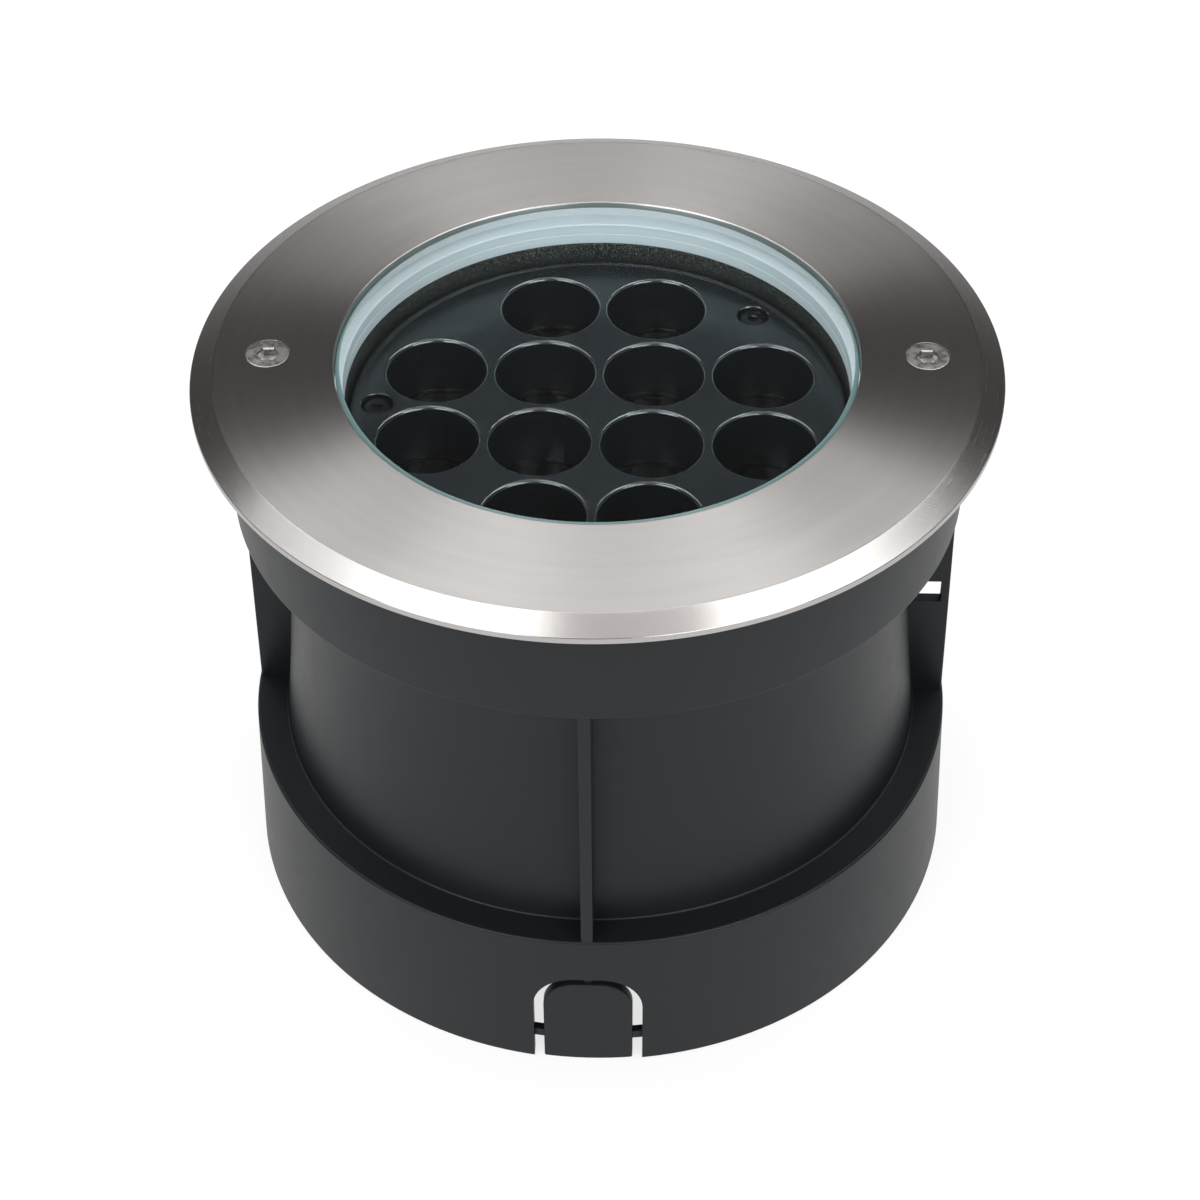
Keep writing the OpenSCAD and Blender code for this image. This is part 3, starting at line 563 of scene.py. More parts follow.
def moulded(slot, roughness, grain=0.35 * MM, depth=0.012 * MM, contrast=0.12, variation=0.06, level=0.5):
    """Moulded plastic, rubber or coating."""
    drift_w, patch_w = 14 * MM, 5 * MM
    material, tree, shader, place = grained(slot, roughness, 0.0, drift_w, patch_w, grain, depth, variation,
                                            contrast)
    feed(tree, shader, {"Specular IOR Level": level})
    return material


def metal(slot, roughness, grain=0.25 * MM, depth=0.004 * MM, variation=0.07, contrast=0.08):
    """Plain metal."""
    drift_w, patch_w = 6 * MM, 1.6 * MM
    return grained(slot, roughness, 1.0, drift_w, patch_w, grain, depth, variation, contrast)[0]


def louvre_coat():
    """The louvre's dark satin coat, which is glossier on the rounded rims of its wells."""
    wall_end, rim_start, rim_end, face_start = 1.2 * MM, 0.9 * MM, 0.09 * MM, 0.02 * MM
    material = moulded("louvre_finish", 0.24, grain=0.25 * MM, depth=0.002 * MM, contrast=0.04,
                       variation=0.015, level=0.6)
    tree = material.node_tree
    shader = tree.nodes["Principled BSDF"]
    height = height_of(tree, put(tree, "ShaderNodeTexCoord").outputs["Object"])
    below = spread(tree, height, 0, 1, PLATE_TOP_Z - wall_end, PLATE_TOP_Z - rim_start)
    above = spread(tree, height, 1, 0, PLATE_TOP_Z - rim_end, PLATE_TOP_Z - face_start)
    feed(tree, shader, {"Coat Roughness": 0.08, "Coat IOR": 2.2,
                        "Coat Weight": sum_of(tree, "MULTIPLY", below, above)})
    return material


def round_marks(tree, outwards, radius, width, arc_share=1.0):
    """Coordinates for marks that run round the axis, each about the given width across."""
    parts = put(tree, "ShaderNodeSeparateXYZ", {0: outwards}).outputs
    return put(tree, "ShaderNodeCombineXYZ", {"X": sum_of(tree, "MULTIPLY", parts[0], arc_share),
                                              "Y": sum_of(tree, "MULTIPLY", parts[1], arc_share),
                                              "Z": sum_of(tree, "DIVIDE", radius, width)}).outputs[0]


def brushed_trim():
    """Stainless steel brushed round and round, so that glints spread along the radius, with painted shade on
    its outer land.
    """
    slot = "trim_steel"
    flat_rough, bevel_rough, rough_drift = 0.315, 0.25, 0.03
    bevel_start, bevel_end = TRIM_R - 5.6 * MM, TRIM_R - 4.9 * MM
    land_top, bevel_foot = TRIM_Z + 1.3 * MM, TRIM_Z + 1.6 * MM
    streak_w, band_w, streak_d = 0.16 * MM, 3 * MM, 0.0010 * MM
    streak_share, band_share, darkest, lightest = 0.55, 0.45, 0.87, 1.13
    material, tree, shader, place = new_finish(slot, flat_rough, 1.0)
    level = put(tree, "ShaderNodeVectorMath", {0: place, 1: (1, 1, 0)}, operation="MULTIPLY").outputs[0]
    radius = put(tree, "ShaderNodeVectorMath", {0: level}, operation="LENGTH").outputs["Value"]
    outwards = put(tree, "ShaderNodeVectorMath", {0: level}, operation="NORMALIZE").outputs[0]
    feed(tree, shader, {"Anisotropic": 0.9, "Tangent": outwards})
    lines = round_marks(tree, outwards, radius, streak_w, arc_share=5.0)
    streaks = blotches(tree, lines, 1.0, detail=4.0, roughness=0.7)
    bands = blotches(tree, round_marks(tree, outwards, radius, band_w), 1.0, detail=1.0)
    bevel = spread(tree, radius, 0, 1, bevel_start, bevel_end)
    base = spread(tree, bevel, flat_rough, bevel_rough, 0, 1)
    rough = sum_of(tree, "ADD", base, spread(tree, streaks, -rough_drift, rough_drift))
    feed(tree, shader, {"Roughness": rough})
    drift = sum_of(tree, "ADD", sum_of(tree, "MULTIPLY", streaks, streak_share),
                   sum_of(tree, "MULTIPLY", bands, band_share))
    # Painted shade: the land, the trim's upright outer edge, takes the darkest tone to damp its reflection of
    # the floor; above it streaks and bands vary the tone.
    painted_light_share = spread(tree, height_of(tree, place), 0, 1, land_top, bevel_foot)
    shade(tree, shader, COLOURS[slot], sum_of(tree, "MULTIPLY", drift, painted_light_share), darkest, lightest)
    relief(tree, shader, streaks, streak_d)
    return material


def cast_metal():
    """Dark coated die casting with a coarse speckled skin, whose specks are painted light near the gasket and
    fade under painted shade lower down.
    """
    pit_w, pit_d = 0.4 * MM, 0.12 * MM
    dark, speck = (0.010, 0.012, 0.012), (0.15, 0.16, 0.13)
    pit_start, pit_end, keen_rough, dull_rough = 0.5, 0.62, 0.38, 0.62
    painted_shade_z, painted_light_z, painted_shade_share = GASKET_LOW.z - 4.5 * MM, GASKET_LOW.z - 1.5 * MM, 0.25
    material, tree, shader, place = new_finish("cast_aluminium", 0.5, 0.0)
    pits = blotches(tree, place, pit_w, detail=2.0, roughness=0.6)
    # Painted light and shade: the specks show fully near the gasket and fade to a quarter further down, as if
    # lit from above.
    painted_light_share = spread(tree, height_of(tree, place), painted_shade_share, 1, painted_shade_z, painted_light_z)
    specks = sum_of(tree, "MULTIPLY", spread(tree, pits, 0, 1, pit_start, pit_end), painted_light_share)
    feed(tree, shader, {"Base Color": blend(tree, specks, dark, speck),
                        "Roughness": spread(tree, pits, keen_rough, dull_rough)})
    relief(tree, shader, pits, pit_d)
    return material


def clear(slot, index, roughness, tint, shadow_tint):
    """Clear glass or acrylic: it bends what the camera sees, and lets light through to what is behind."""
    material, tree, shader, place = new_finish(slot, roughness, colour=tint)
    wipe_w, wipe_rough = 9 * MM, 0.012
    wipe = spread(tree, blotches(tree, place, wipe_w), roughness, roughness + wipe_rough)
    feed(tree, shader, {"IOR": index, "Transmission Weight": 1, "Roughness": wipe})
    path = put(tree, "ShaderNodeLightPath").outputs
    straight = sum_of(tree, "MAXIMUM", path["Is Shadow Ray"], path["Is Diffuse Ray"])
    through = put(tree, "ShaderNodeBsdfTransparent", {"Color": (*shadow_tint, 1)}).outputs[0]
    mix = put(tree, "ShaderNodeMixShader", {0: straight, 1: shader.outputs[0], 2: through}).outputs[0]
    feed(tree, tree.nodes["Material Output"], {"Surface": mix})
    return material


def ground(name, colour, clearness):
    """A ground face of the glass: frosted, and more or less clear."""
    grain_w, grain_d, keen_rough, dull_rough = 0.2 * MM, 0.004 * MM, 0.28, 0.42
    material, tree, shader, place = new_finish("safety_glass", 0.35, colour=colour)
    material.name = name
    grain = blotches(tree, place, grain_w)
    feed(tree, shader, {"IOR": 1.5, "Transmission Weight": clearness,
                        "Roughness": spread(tree, grain, keen_rough, dull_rough)})
    relief(tree, shader, grain, grain_d)
    return material


def phosphor():
    """Yellow phosphor under a clear dome."""
    slot, grain_w, keen_rough, dull_rough, darkest, lightest = "led_phosphor", 0.15 * MM, 0.2, 0.35, 0.85, 1.1
    material, tree, shader, place = new_finish(slot, 0.25)
    grain = blotches(tree, place, grain_w)
    shade(tree, shader, COLOURS[slot], grain, darkest, lightest)
    feed(tree, shader, {"Coat Weight": 0.6, "Coat Roughness": 0.05,
                        "Roughness": spread(tree, grain, keen_rough, dull_rough)})
    return material


def make_materials():
    """One finish for each of the record's slots."""
    return {
        "sleeve_plastic": moulded("sleeve_plastic", 0.4, grain=0.4 * MM, depth=0.014 * MM, contrast=0.03,
                                  variation=0.015, level=0.33),
        "trim_steel": brushed_trim(),
        "screw_steel": metal("screw_steel", 0.3, grain=0.22 * MM, depth=0.007 * MM, variation=0.08,
                             contrast=0.16),
        "clamp_steel": metal("clamp_steel", 0.4),
        "safety_glass": clear("safety_glass", 1.5, 0.0, (0.93, 0.985, 0.995), (0.96, 0.99, 1.0)),
        "glass_edge": ground("glass_edge", (0.25, 0.42, 0.42), 0.3),
        "glass_side": ground("glass_side", (0.84, 0.94, 0.97), 0.0),
        "silicone": moulded("silicone", 0.42, grain=0.3 * MM, depth=0.006 * MM, contrast=0.04),
        "black_rubber": moulded("black_rubber", 0.62, grain=0.2 * MM),
        "cast_aluminium": cast_metal(),
        "louvre_finish": louvre_coat(),
        "black_steel": moulded("black_steel", 0.13, contrast=0.1, variation=0.03, level=0.3),
        "black_plastic": moulded("black_plastic", 0.45),
        # Painted shade: the collimators are tinted dark grey and pass only about a seventh of the light
        # through, so that the wells' bottoms look near-black.
        "clear_plastic": clear("clear_plastic", 1.49, 0.03, (0.60, 0.64, 0.66), (0.14, 0.16, 0.17)),
        "board_white": moulded("board_white", 0.35, contrast=0.03),
        "board_green": moulded("board_green", 0.35, contrast=0.08),
        "led_phosphor": phosphor(),
        "bare_aluminium": metal("bare_aluminium", 0.38),
        "bracket_steel": metal("bracket_steel", 0.42, contrast=0.15),
        "brass": metal("brass", 0.3),
        "driver_plastic": moulded("driver_plastic", 0.5, contrast=0.04),
        "terminal_plastic": moulded("terminal_plastic", 0.45, contrast=0.04),
        "gland_plastic": moulded("gland_plastic", 0.45),
    }


MATERIALS = make_materials()


# Screws

def socket_screw(name, shank_r, head_r, length, socket, pan_h=0.0, pitch=M3_PITCH):
    """A hexagon socket screw: countersunk with its top at zero, or pan-headed with its seat at zero."""
    edge, crown, land, tip, lead, rise = 0.12 * MM, 0.28 * MM, 0.3 * MM, 0.4 * MM, 0.3 * MM, 0.01 * MM
    socket_w, socket_h = socket
    if pan_h:
        top = pan_h
        corners = [(0, top, 0), (head_r - tip, top, edge), (head_r, top - tip, edge), (head_r, 0, edge)]
        neck = 0.0
    else:
        top = 0.0
        neck = -land - (head_r - shank_r)
        corners = [(0, 0, 0), (head_r, 0, crown), (head_r, -land, 0)]
    corners.append((shank_r, neck, 0))
    ridge = 0.3 * pitch
    turns = int((length + neck - 2 * tip) / pitch) - 1
    for turn in range(turns):
        z = neck - (turn + 1) * pitch
        corners += [(shank_r, z, 0), (shank_r - ridge, z - pitch / 2, 0)]
    corners += [(shank_r, neck - (turns + 1) * pitch, 0), (shank_r, -length + tip, 0),
                (shank_r - tip, -length, 0), (0, -length, 0)]
    screw = turned(name, corners, closed=False, segments=SMALL_ROUND, steps=2)
    corner_r = socket_w / math.sqrt(3)
    drill_h = 0.25 * corner_r
    hollow = turned("socket", [(0, top - socket_h - drill_h, 0), (corner_r, top - socket_h, 0),
                               (corner_r, top + OVER, 0), (0, top + OVER, 0)], closed=False, segments=HEXAGON)
    mouth = turned("mouth", [(0, top - lead, 0), (corner_r, top - lead, 0), (corner_r + lead, top + rise, 0),
                             (0, top + rise, 0)], closed=False, segments=HEXAGON)
    return cut(screw, hollow, mouth)


# Sleeve

SKIRT_R = 85 * MM
FOOT_R = 87 * MM
SKIRT_H = 40.4 * MM
BODY_R = 72.4 * MM
BODY_WALL = 3 * MM
COLLAR_Z = SEAT_Z - 6.4 * MM
COLLAR_TOP_Z = TRIM_Z - 0.3 * MM
LEDGE_T = 3 * MM
LEDGE_DROP = 0.7 * MM
FLARE_RISE = 60 * MM
FLARE_W = 5 * MM
FLARE_POWER = 1.5
FLARE_STEPS = 14
RIB_T = 2.8 * MM
RIB_COUNT = 4
SLOT_W = 25.2 * MM
SLOT_H = 28 * MM
SLOT_R = 10 * MM
SLOT_GAP = 2.3 * MM
SLOT_COUNT = 2
SLOT_NEAR = -SKIRT_R - 2 * BODY_WALL
SLOT_FAR = -SKIRT_R + 3 * BODY_WALL
INSERT_LEN = 10 * MM


def flare(t):
    """Radius and height of the flare above the ledge, from its top at 0 to the ledge at 1."""
    return BODY_R + FLARE_W * t ** FLARE_POWER, SKIRT_H - LEDGE_DROP + FLARE_RISE * (1 - t)


def skirt_wall(inset):
    """The skirt's wall, less an inset from its outside."""
    return turned("skirt wall", [(FOOT_R - BODY_WALL, 0, 0), (FOOT_R - inset, 0, 0),
                                 (SKIRT_R - inset, SKIRT_H - SINK, 0),
                                 (SKIRT_R - BODY_WALL, SKIRT_H - SINK, 0)])


def sleeve_shell():
    """Skirt, ledge, flared body and collar, turned in one."""
    ledge_edge = 0.6 * MM
    up = [i / FLARE_STEPS for i in range(FLARE_STEPS, -1, -1)]
    outside = [(*flare(t), FULL_EDGE if t == 1 else 0) for t in up]
    inside = [(flare(t)[0] - BODY_WALL, flare(t)[1] - t * LEDGE_T, 0) for t in reversed(up)]
    corners = [
        (FOOT_R - BODY_WALL, 0, SOFT_EDGE), (FOOT_R, 0, FULL_EDGE), (SKIRT_R, SKIRT_H, ledge_edge), *outside,
        (BODY_R, COLLAR_Z, WIDE_EDGE), (COLLAR_R, COLLAR_Z, CAST_EDGE),
        (COLLAR_R, COLLAR_TOP_Z, SOFT_EDGE), (COLLAR_IN_R, COLLAR_TOP_Z, SOFT_EDGE),
        (COLLAR_IN_R, SEAT_Z, FULL_EDGE), (BODY_R - BODY_WALL, SEAT_Z, FULL_EDGE), *inside,
        (SKIRT_R - BODY_WALL, SKIRT_H - LEDGE_T, CAST_EDGE),
    ]
    return turned("sleeve shell", corners)


def sleeve_ribs():
    """The four upright ribs between collar and ledge."""
    inset = 0.3 * MM
    foot_z = SKIRT_H - LEDGE_DROP - SINK
    down = [flare(i / FLARE_STEPS) for i in range(FLARE_STEPS + 1)]
    corners = [
        (flare(1)[0] - SINK, foot_z, 0), (SKIRT_R - inset, foot_z, 0),
        (COLLAR_R - inset, COLLAR_Z + SINK, 0), (BODY_R - SINK, COLLAR_Z + SINK, 0),
        *[(radius - SINK, z, 0) for radius, z in down],
    ]
    rib = eased(prism("sleeve rib", corners, -RIB_T / 2, RIB_T / 2), EASY_EDGE)
    return ringed(rib, RIB_COUNT)


def arch(name, width, height, corner_r):
    """A knock-out's arched outline, drawn out along Y through the front of the skirt."""
    return prism(name, [(-width / 2, -OVER, 0), (width / 2, -OVER, 0), (width / 2, height, corner_r),
                        (-width / 2, height, corner_r)], SLOT_NEAR, SLOT_FAR, steps=12)


def knock_outs():
    """The two knock-out tabs, and the thin webs that hold them."""
    tab_r, tab_inset = 8 * MM, 0.5 * MM
    web_w, web_h, web_t, web_z = 1.6 * MM, 2.2 * MM, 1.8 * MM, 6.2 * MM
    tab = arch("tab", SLOT_W - 2 * SLOT_GAP, SLOT_H - SLOT_GAP, tab_r)
    tab = eased(combined(tab, "INTERSECT", skirt_wall(tab_inset)), SOFT_EDGE)
    bar = block("side webs", (-SLOT_W / 2 - SINK, SLOT_NEAR, web_z),
                (SLOT_W / 2 + SINK, SLOT_FAR, web_z + web_h))
    top = block("top web", (-web_w / 2, SLOT_NEAR, SLOT_H - SLOT_GAP - SINK),
                (web_w / 2, SLOT_FAR, SLOT_H + SINK))
    webs = combined(united(bar, top), "INTERSECT", skirt_wall(BODY_WALL - web_t))
    return ringed(united(tab, webs), SLOT_COUNT)


def sleeve():
    """The installation sleeve: shell, ribs, bosses, window, knock-outs and the insert holes."""
    hole_r, boss_wall, boss_len, hole_spare = 3.52 * MM, 2 * MM, 14.5 * MM, 3 * MM
    window_in, window_out, window_low, window_high = 75 * MM, 82 * MM, 69.6 * MM, 76 * MM
    boss = rod("boss", hole_r + boss_wall, SEAT_Z - boss_len, SEAT_Z - SINK, WIDE_EDGE, segments=MIDDLE_ROUND)
    body = united(sleeve_shell(), sleeve_ribs(), at_trim_screws(boss))
    window = block("window", (window_in, -RIB_T, window_low), (window_out, RIB_T, window_high))
    hole = rod("insert hole", hole_r, SEAT_Z - INSERT_LEN - hole_spare, SEAT_Z + OVER)
    slot = arch("slot", SLOT_W, SLOT_H, SLOT_R)
    body = cut(body, window, at_trim_screws(hole), ringed(slot, SLOT_COUNT))
    body = united(body, knock_outs())
    finished(body, "sleeve", "sleeve", "sleeve_plastic", "installation_sleeve")


def thread_inserts():
    """The brass inserts for the trim screws, knurled in two bands."""
    outer, inner, groove, ridge, teeth = 3.5 * MM, 2.55 * MM, 0.4 * MM, 0.05 * MM, 30
    low = SEAT_Z - INSERT_LEN
    waist_low, waist_high = low + 4.2 * MM, low + 5.8 * MM
    body = turned("insert", [
        (inner, low, HAIR_EDGE), (outer - groove, low, 0), (outer - groove, low + groove, 0),
        (outer - ridge, low + groove, 0), (outer - ridge, waist_low, 0), (outer - groove, waist_low, 0),
        (outer - groove, waist_high, 0), (outer - ridge, waist_high, 0), (outer - ridge, SEAT_Z, 0),
        (inner, SEAT_Z, FINE_EDGE)], segments=SMALL_ROUND)
    tooth = block("tooth", (outer - 2 * ridge, -2 * ridge, low + 2 * groove),
                  (outer, 2 * ridge, SEAT_Z - groove))
    body = united(body, ringed(tooth, teeth))
    finished(at_trim_screws(body), "brass_inserts", "sleeve", "brass", "thread_inserts")


# Trim, glass and seals

def screw_seat(seat_r, hole_r, low, top_z):
    """Outline of a countersunk screw's seat, from its through hole's foot to the top of its cone."""
    drop = 0.38 * MM
    return [(0, low - OVER, 0), (hole_r, low - OVER, 0), (hole_r, top_z - drop - (seat_r - hole_r), 0),
            (seat_r, top_z - drop, 0)]


def trim():
    """The steel trim ring, bevelled outside, with two countersunk holes."""
    in_r = GLASS_R + 0.3 * MM
    land, bevel_w = 1.5 * MM, 5.1 * MM
    ring = turned("trim ring", [
        (in_r, TRIM_Z, KEEN_EDGE), (TRIM_R, TRIM_Z, FINE_EDGE), (TRIM_R, TRIM_Z + land, SLIGHT_EDGE),
        (TRIM_R - bevel_w, TOP_Z, EDGE), (in_r, TOP_Z, EASY_EDGE)], segments=2 * LARGE_ROUND)
    seat_r, mouth_w = 4.95 * MM, 0.06 * MM
    mouth_r = seat_r + mouth_w
    seat = turned("screw seat", [
        *screw_seat(seat_r, M5_FREE_R, TRIM_Z, TOP_Z), (seat_r, TOP_Z - mouth_w, 0), (mouth_r, TOP_Z, 0),
        (mouth_r, TOP_Z + OVER, 0), (0, TOP_Z + OVER, 0)], closed=False, segments=WIDE_ROUND)
    cut(ring, at_trim_screws(seat))
    finished(ring, "trim", "luminaire", "trim_steel", "trim_ring")


def trim_screws():
    """The two M5 countersunk screws of the trim."""
    low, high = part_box("trim_screws")
    screw = socket_screw("trim screw", M5_R, M5_HEAD_R, high.z - low.z, M5_SOCKET, pitch=M5_PITCH)
    screw = at_trim_screws(shifted(screw, z=high.z))
    finished(screw, "trim_screw_pair", "luminaire", "screw_steel", "trim_screws")


def clamp_ring():
    """The ring under the trim that presses the glass into its gasket, with its screws."""
    in_r, out_r, seat_r = GLASS_R + 1 * MM, 76 * MM, 2.85 * MM
    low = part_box("clamp_ring")[0].z
    ring = pipe("clamp", in_r, out_r, low, TRIM_Z, FINE_EDGE)
    seat = turned("clamp seat", [
        *screw_seat(seat_r, M3_FREE_R, low, TRIM_Z), (seat_r, TRIM_Z + OVER, 0), (0, TRIM_Z + OVER, 0)],
        closed=False, segments=SMALL_ROUND)
    hole = through("trim screw hole", M5_FREE_R, low, TRIM_Z)
    cut(ring, at_clamp_screws(seat), at_trim_screws(hole))
    finished(ring, "clamp", "luminaire", "clamp_steel", "clamp_ring")
    low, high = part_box("clamp_screws")
    screw = socket_screw("clamp screw", M3_R, M3_HEAD_R, high.z - low.z, M3_SOCKET)
    screw = at_clamp_screws(shifted(screw, z=high.z))
    finished(screw, "clamp_screw_ring", "luminaire", "screw_steel", "clamp_screws")


def glass():
    """The stepped safety glass with its ground chamfer and its ground sides."""
    flange_r, chamfer = 64 * MM, 0.9 * MM
    lens = turned("safety glass", [
        (0, GLASS_LOW.z, 0), (flange_r, GLASS_LOW.z, EDGE), (flange_r, GLASS_STEP_Z, EDGE),
        (GLASS_R, GLASS_STEP_Z, KEEN_EDGE), (GLASS_R, GLASS_TOP_Z - chamfer, KEEN_EDGE),
        (GLASS_R - chamfer, GLASS_TOP_Z, KEEN_EDGE), (0, GLASS_TOP_Z, 0)], closed=False)
    lens.data.materials.clear()
    for finish in ("safety_glass", "glass_edge", "glass_side"):
        lens.data.materials.append(MATERIALS[finish])
    slope, upright = math.radians(20), math.radians(75)
    for face in lens.data.polygons:
        tilt = face.normal.angle((0, 0, 1))
        if upright < tilt < math.pi - upright:
            face.material_index = 2
        elif face.center.z > GLASS_TOP_Z - chamfer - KEEN_EDGE and slope < tilt:
            face.material_index = 1
    finished(lens, "glass", "luminaire", "safety_glass", "glass_lens", painted=True)


def gasket():
    """The white silicone gasket that holds the glass, with one fine groove inside."""
    in_r, out_r, neck_r, flange_r = BORE_R - 0.4 * MM, 67 * MM, GLASS_R + 0.6 * MM, 64.1 * MM
    groove_d, groove_edge = 0.12 * MM, 0.08 * MM
    low, high = GASKET_LOW.z, GLASS_LOW.z
    groove_z = (low + high) / 2
    ring = turned("gasket ring", [
        (in_r, low, EDGE), (out_r, low, EDGE), (out_r, GASKET_HIGH.z, EDGE), (neck_r, GASKET_HIGH.z, EDGE),
        (neck_r, GLASS_STEP_Z, EDGE), (flange_r, GLASS_STEP_Z, 0), (flange_r, high, 0), (in_r, high, EDGE),
        (in_r, groove_z + groove_d, HAIR_EDGE), (in_r + groove_d, groove_z, groove_edge),
        (in_r, groove_z - groove_d, HAIR_EDGE)])
    finished(ring, "gasket", "luminaire", "silicone", "glass_gasket")


def flange_seal():
    """The flat black seal on the sleeve's seat, with rounded edges."""
    in_r = 69.8 * MM
    low, high = SEAL_LOW.z, SEAL_HIGH.z
    seal = pipe("seal", in_r, FLANGE_R, low, high, EASY_EDGE)
    hole = through("seal hole", M5_FREE_R, low, high)
    cut(seal, at_trim_screws(hole))
    finished(seal, "seat_seal", "luminaire", "black_rubber", "flange_seal")


# Housing

def at_posts(obj):
    """A shape at each of the housing's four posts for the yoke."""
    post_pitch_x, post_pitch_y = 16 * MM, 92 * MM
    return gridded(obj, 2, 2, post_pitch_x, post_pitch_y)


def at_driver_feet(obj):
    """A shape at each of the driver's four feet."""
    foot_pitch_x, foot_pitch_y = 91 * MM, 28 * MM
    return gridded(obj, 2, 2, foot_pitch_x, foot_pitch_y)


def housing_shell():
    """Can, flange, gasket pocket and lip, turned in one."""
    can_r, cavity_r, pocket_r = 64 * MM, 60 * MM, 67.2 * MM
    can_edge, floor_edge, lip_edge = 2.2 * MM, 1.5 * MM, 0.6 * MM
    clamp_z, pocket_z = HOUSING_HIGH.z, GASKET_LOW.z
    shell = turned("housing shell", [
        (0, CAN_Z, 0), (can_r, CAN_Z, can_edge), (can_r, FLANGE_Z, WIDE_EDGE),
        (FLANGE_R, FLANGE_Z, SOFT_EDGE), (FLANGE_R, clamp_z, SOFT_EDGE),
        (pocket_r, clamp_z, EDGE), (pocket_r, pocket_z, EDGE),
        (BORE_R, pocket_z, CAST_EDGE), (BORE_R, FLANGE_Z, lip_edge), (cavity_r, FLANGE_Z, lip_edge),
        (cavity_r, FLOOR_Z, floor_edge), (0, FLOOR_Z, 0)], closed=False)
    rib_t, rib_w, rib_edge, rib_count, foot, head = 2.2 * MM, 3 * MM, 0.45 * MM, 24, 3 * MM, 8 * MM
    rib = block("cooling rib", (can_r - SINK, -rib_t / 2, CAN_Z + foot),
                (can_r + rib_w, rib_t / 2, FLANGE_Z - head), rib_edge)
    post_r = 4.5 * MM
    post = rod("post", post_r, FLOOR_Z - SINK, YOKE_LOW.z, FINE_EDGE)
    return united(shell, ringed(rib, rib_count, math.pi / rib_count), at_posts(post))


def housing():
    """The cast housing: its shell with cooling ribs and posts, and all its holes."""
    clamp_hole_h, post_hole_h, foot_hole_h, gland_hole_r = 11 * MM, 12 * MM, 3 * MM, 10.1 * MM
    shell = housing_shell()
    clamp_z = HOUSING_HIGH.z
    trim_hole = through("trim hole", M5_FREE_R, FLANGE_Z, clamp_z)
    clamp_hole = rod("clamp hole", M3_TAP_R, TRIM_Z - clamp_hole_h, clamp_z + OVER)
    post_hole = rod("post hole", M4_TAP_R, YOKE_LOW.z - post_hole_h, YOKE_LOW.z + OVER)
    foot_hole = rod("foot hole", M3_TAP_R, FLOOR_Z - foot_hole_h, FLOOR_Z + OVER)
    gland_hole = shifted(through("gland hole", gland_hole_r, CAN_Z, FLOOR_Z), *GLAND_PLACE)
    cut(shell, at_trim_screws(trim_hole), at_clamp_screws(clamp_hole), at_posts(post_hole),
        at_driver_feet(foot_hole), gland_hole)
    finished(shell, "cast_housing", "luminaire", "cast_aluminium", "housing")


# Cable gland

GLAND_THREAD_R = 10 * MM
GLAND_NUT_R = 10.02 * MM
GLAND_GASKET_Z = CAN_Z - 1.5 * MM


def hexagon(name, width, low, high, chamfer):
    """A hexagon bar with its corners turned off at both ends."""
    corner_r = width / math.sqrt(3)
    rise = 0.5 * chamfer
    bar = rod(name, corner_r, low, high, segments=HEXAGON)
    turning = turned("turning", [(0, low, 0), (corner_r - chamfer, low, 0), (corner_r, low + rise, 0),
                                 (corner_r, high - rise, 0), (corner_r - chamfer, high, 0),
                                 (0, high, 0)], closed=False, segments=WIDE_ROUND)
    return combined(bar, "INTERSECT", turning)


def thread(radius, low, high, pitch, depth):
    """Corners of a threaded rod's outside, from low to high."""
    crest, crest_end, root = 0.35 * pitch, 0.55 * pitch, 0.9 * pitch
    corners = [(radius - depth, low, 0)]
    turns = int((high - low) / pitch)
    for turn in range(turns):
        z = low + turn * pitch
        corners += [(radius, z + crest, 0), (radius, z + crest_end, 0), (radius - depth, z + root, 0)]
    return corners + [(radius - depth, high, 0)]


def gland_body():
    """The gland's hexagon with the thread into the housing above it and the neck for the cap below."""
    hex_w, hex_h, chamfer, pitch, thread_d = 24 * MM, 8.5 * MM, 0.8 * MM, 1.5 * MM, 0.5 * MM
    neck_r, bore_r, socket_r = 9 * MM, 6 * MM, 7.6 * MM
    low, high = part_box("gland_body")
    seal_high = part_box("gland_seal")[1]
    hex_z, thread_z = CAN_Z - hex_h, GLAND_GASKET_Z - SINK
    ridges = thread(GLAND_THREAD_R, thread_z, high.z, pitch, thread_d)
    upper = turned("upper thread", [(0, thread_z, 0), *ridges, (0, high.z, 0)],
                   closed=False, segments=WIDE_ROUND)
    neck = rod("neck", neck_r, low.z, hex_z + SINK, EDGE, segments=WIDE_ROUND)
    body = united(hexagon("gland hexagon", hex_w, hex_z, GLAND_GASKET_Z, chamfer), upper, neck)
    bore = through("bore", bore_r, low.z, high.z, MIDDLE_ROUND)
    socket = rod("seal bore", socket_r, low.z - OVER, seal_high.z, segments=MIDDLE_ROUND)
    body = shifted(cut(body, bore, socket), *GLAND_PLACE)
    finished(body, "gland_neck", "luminaire", "gland_plastic", "gland_body")


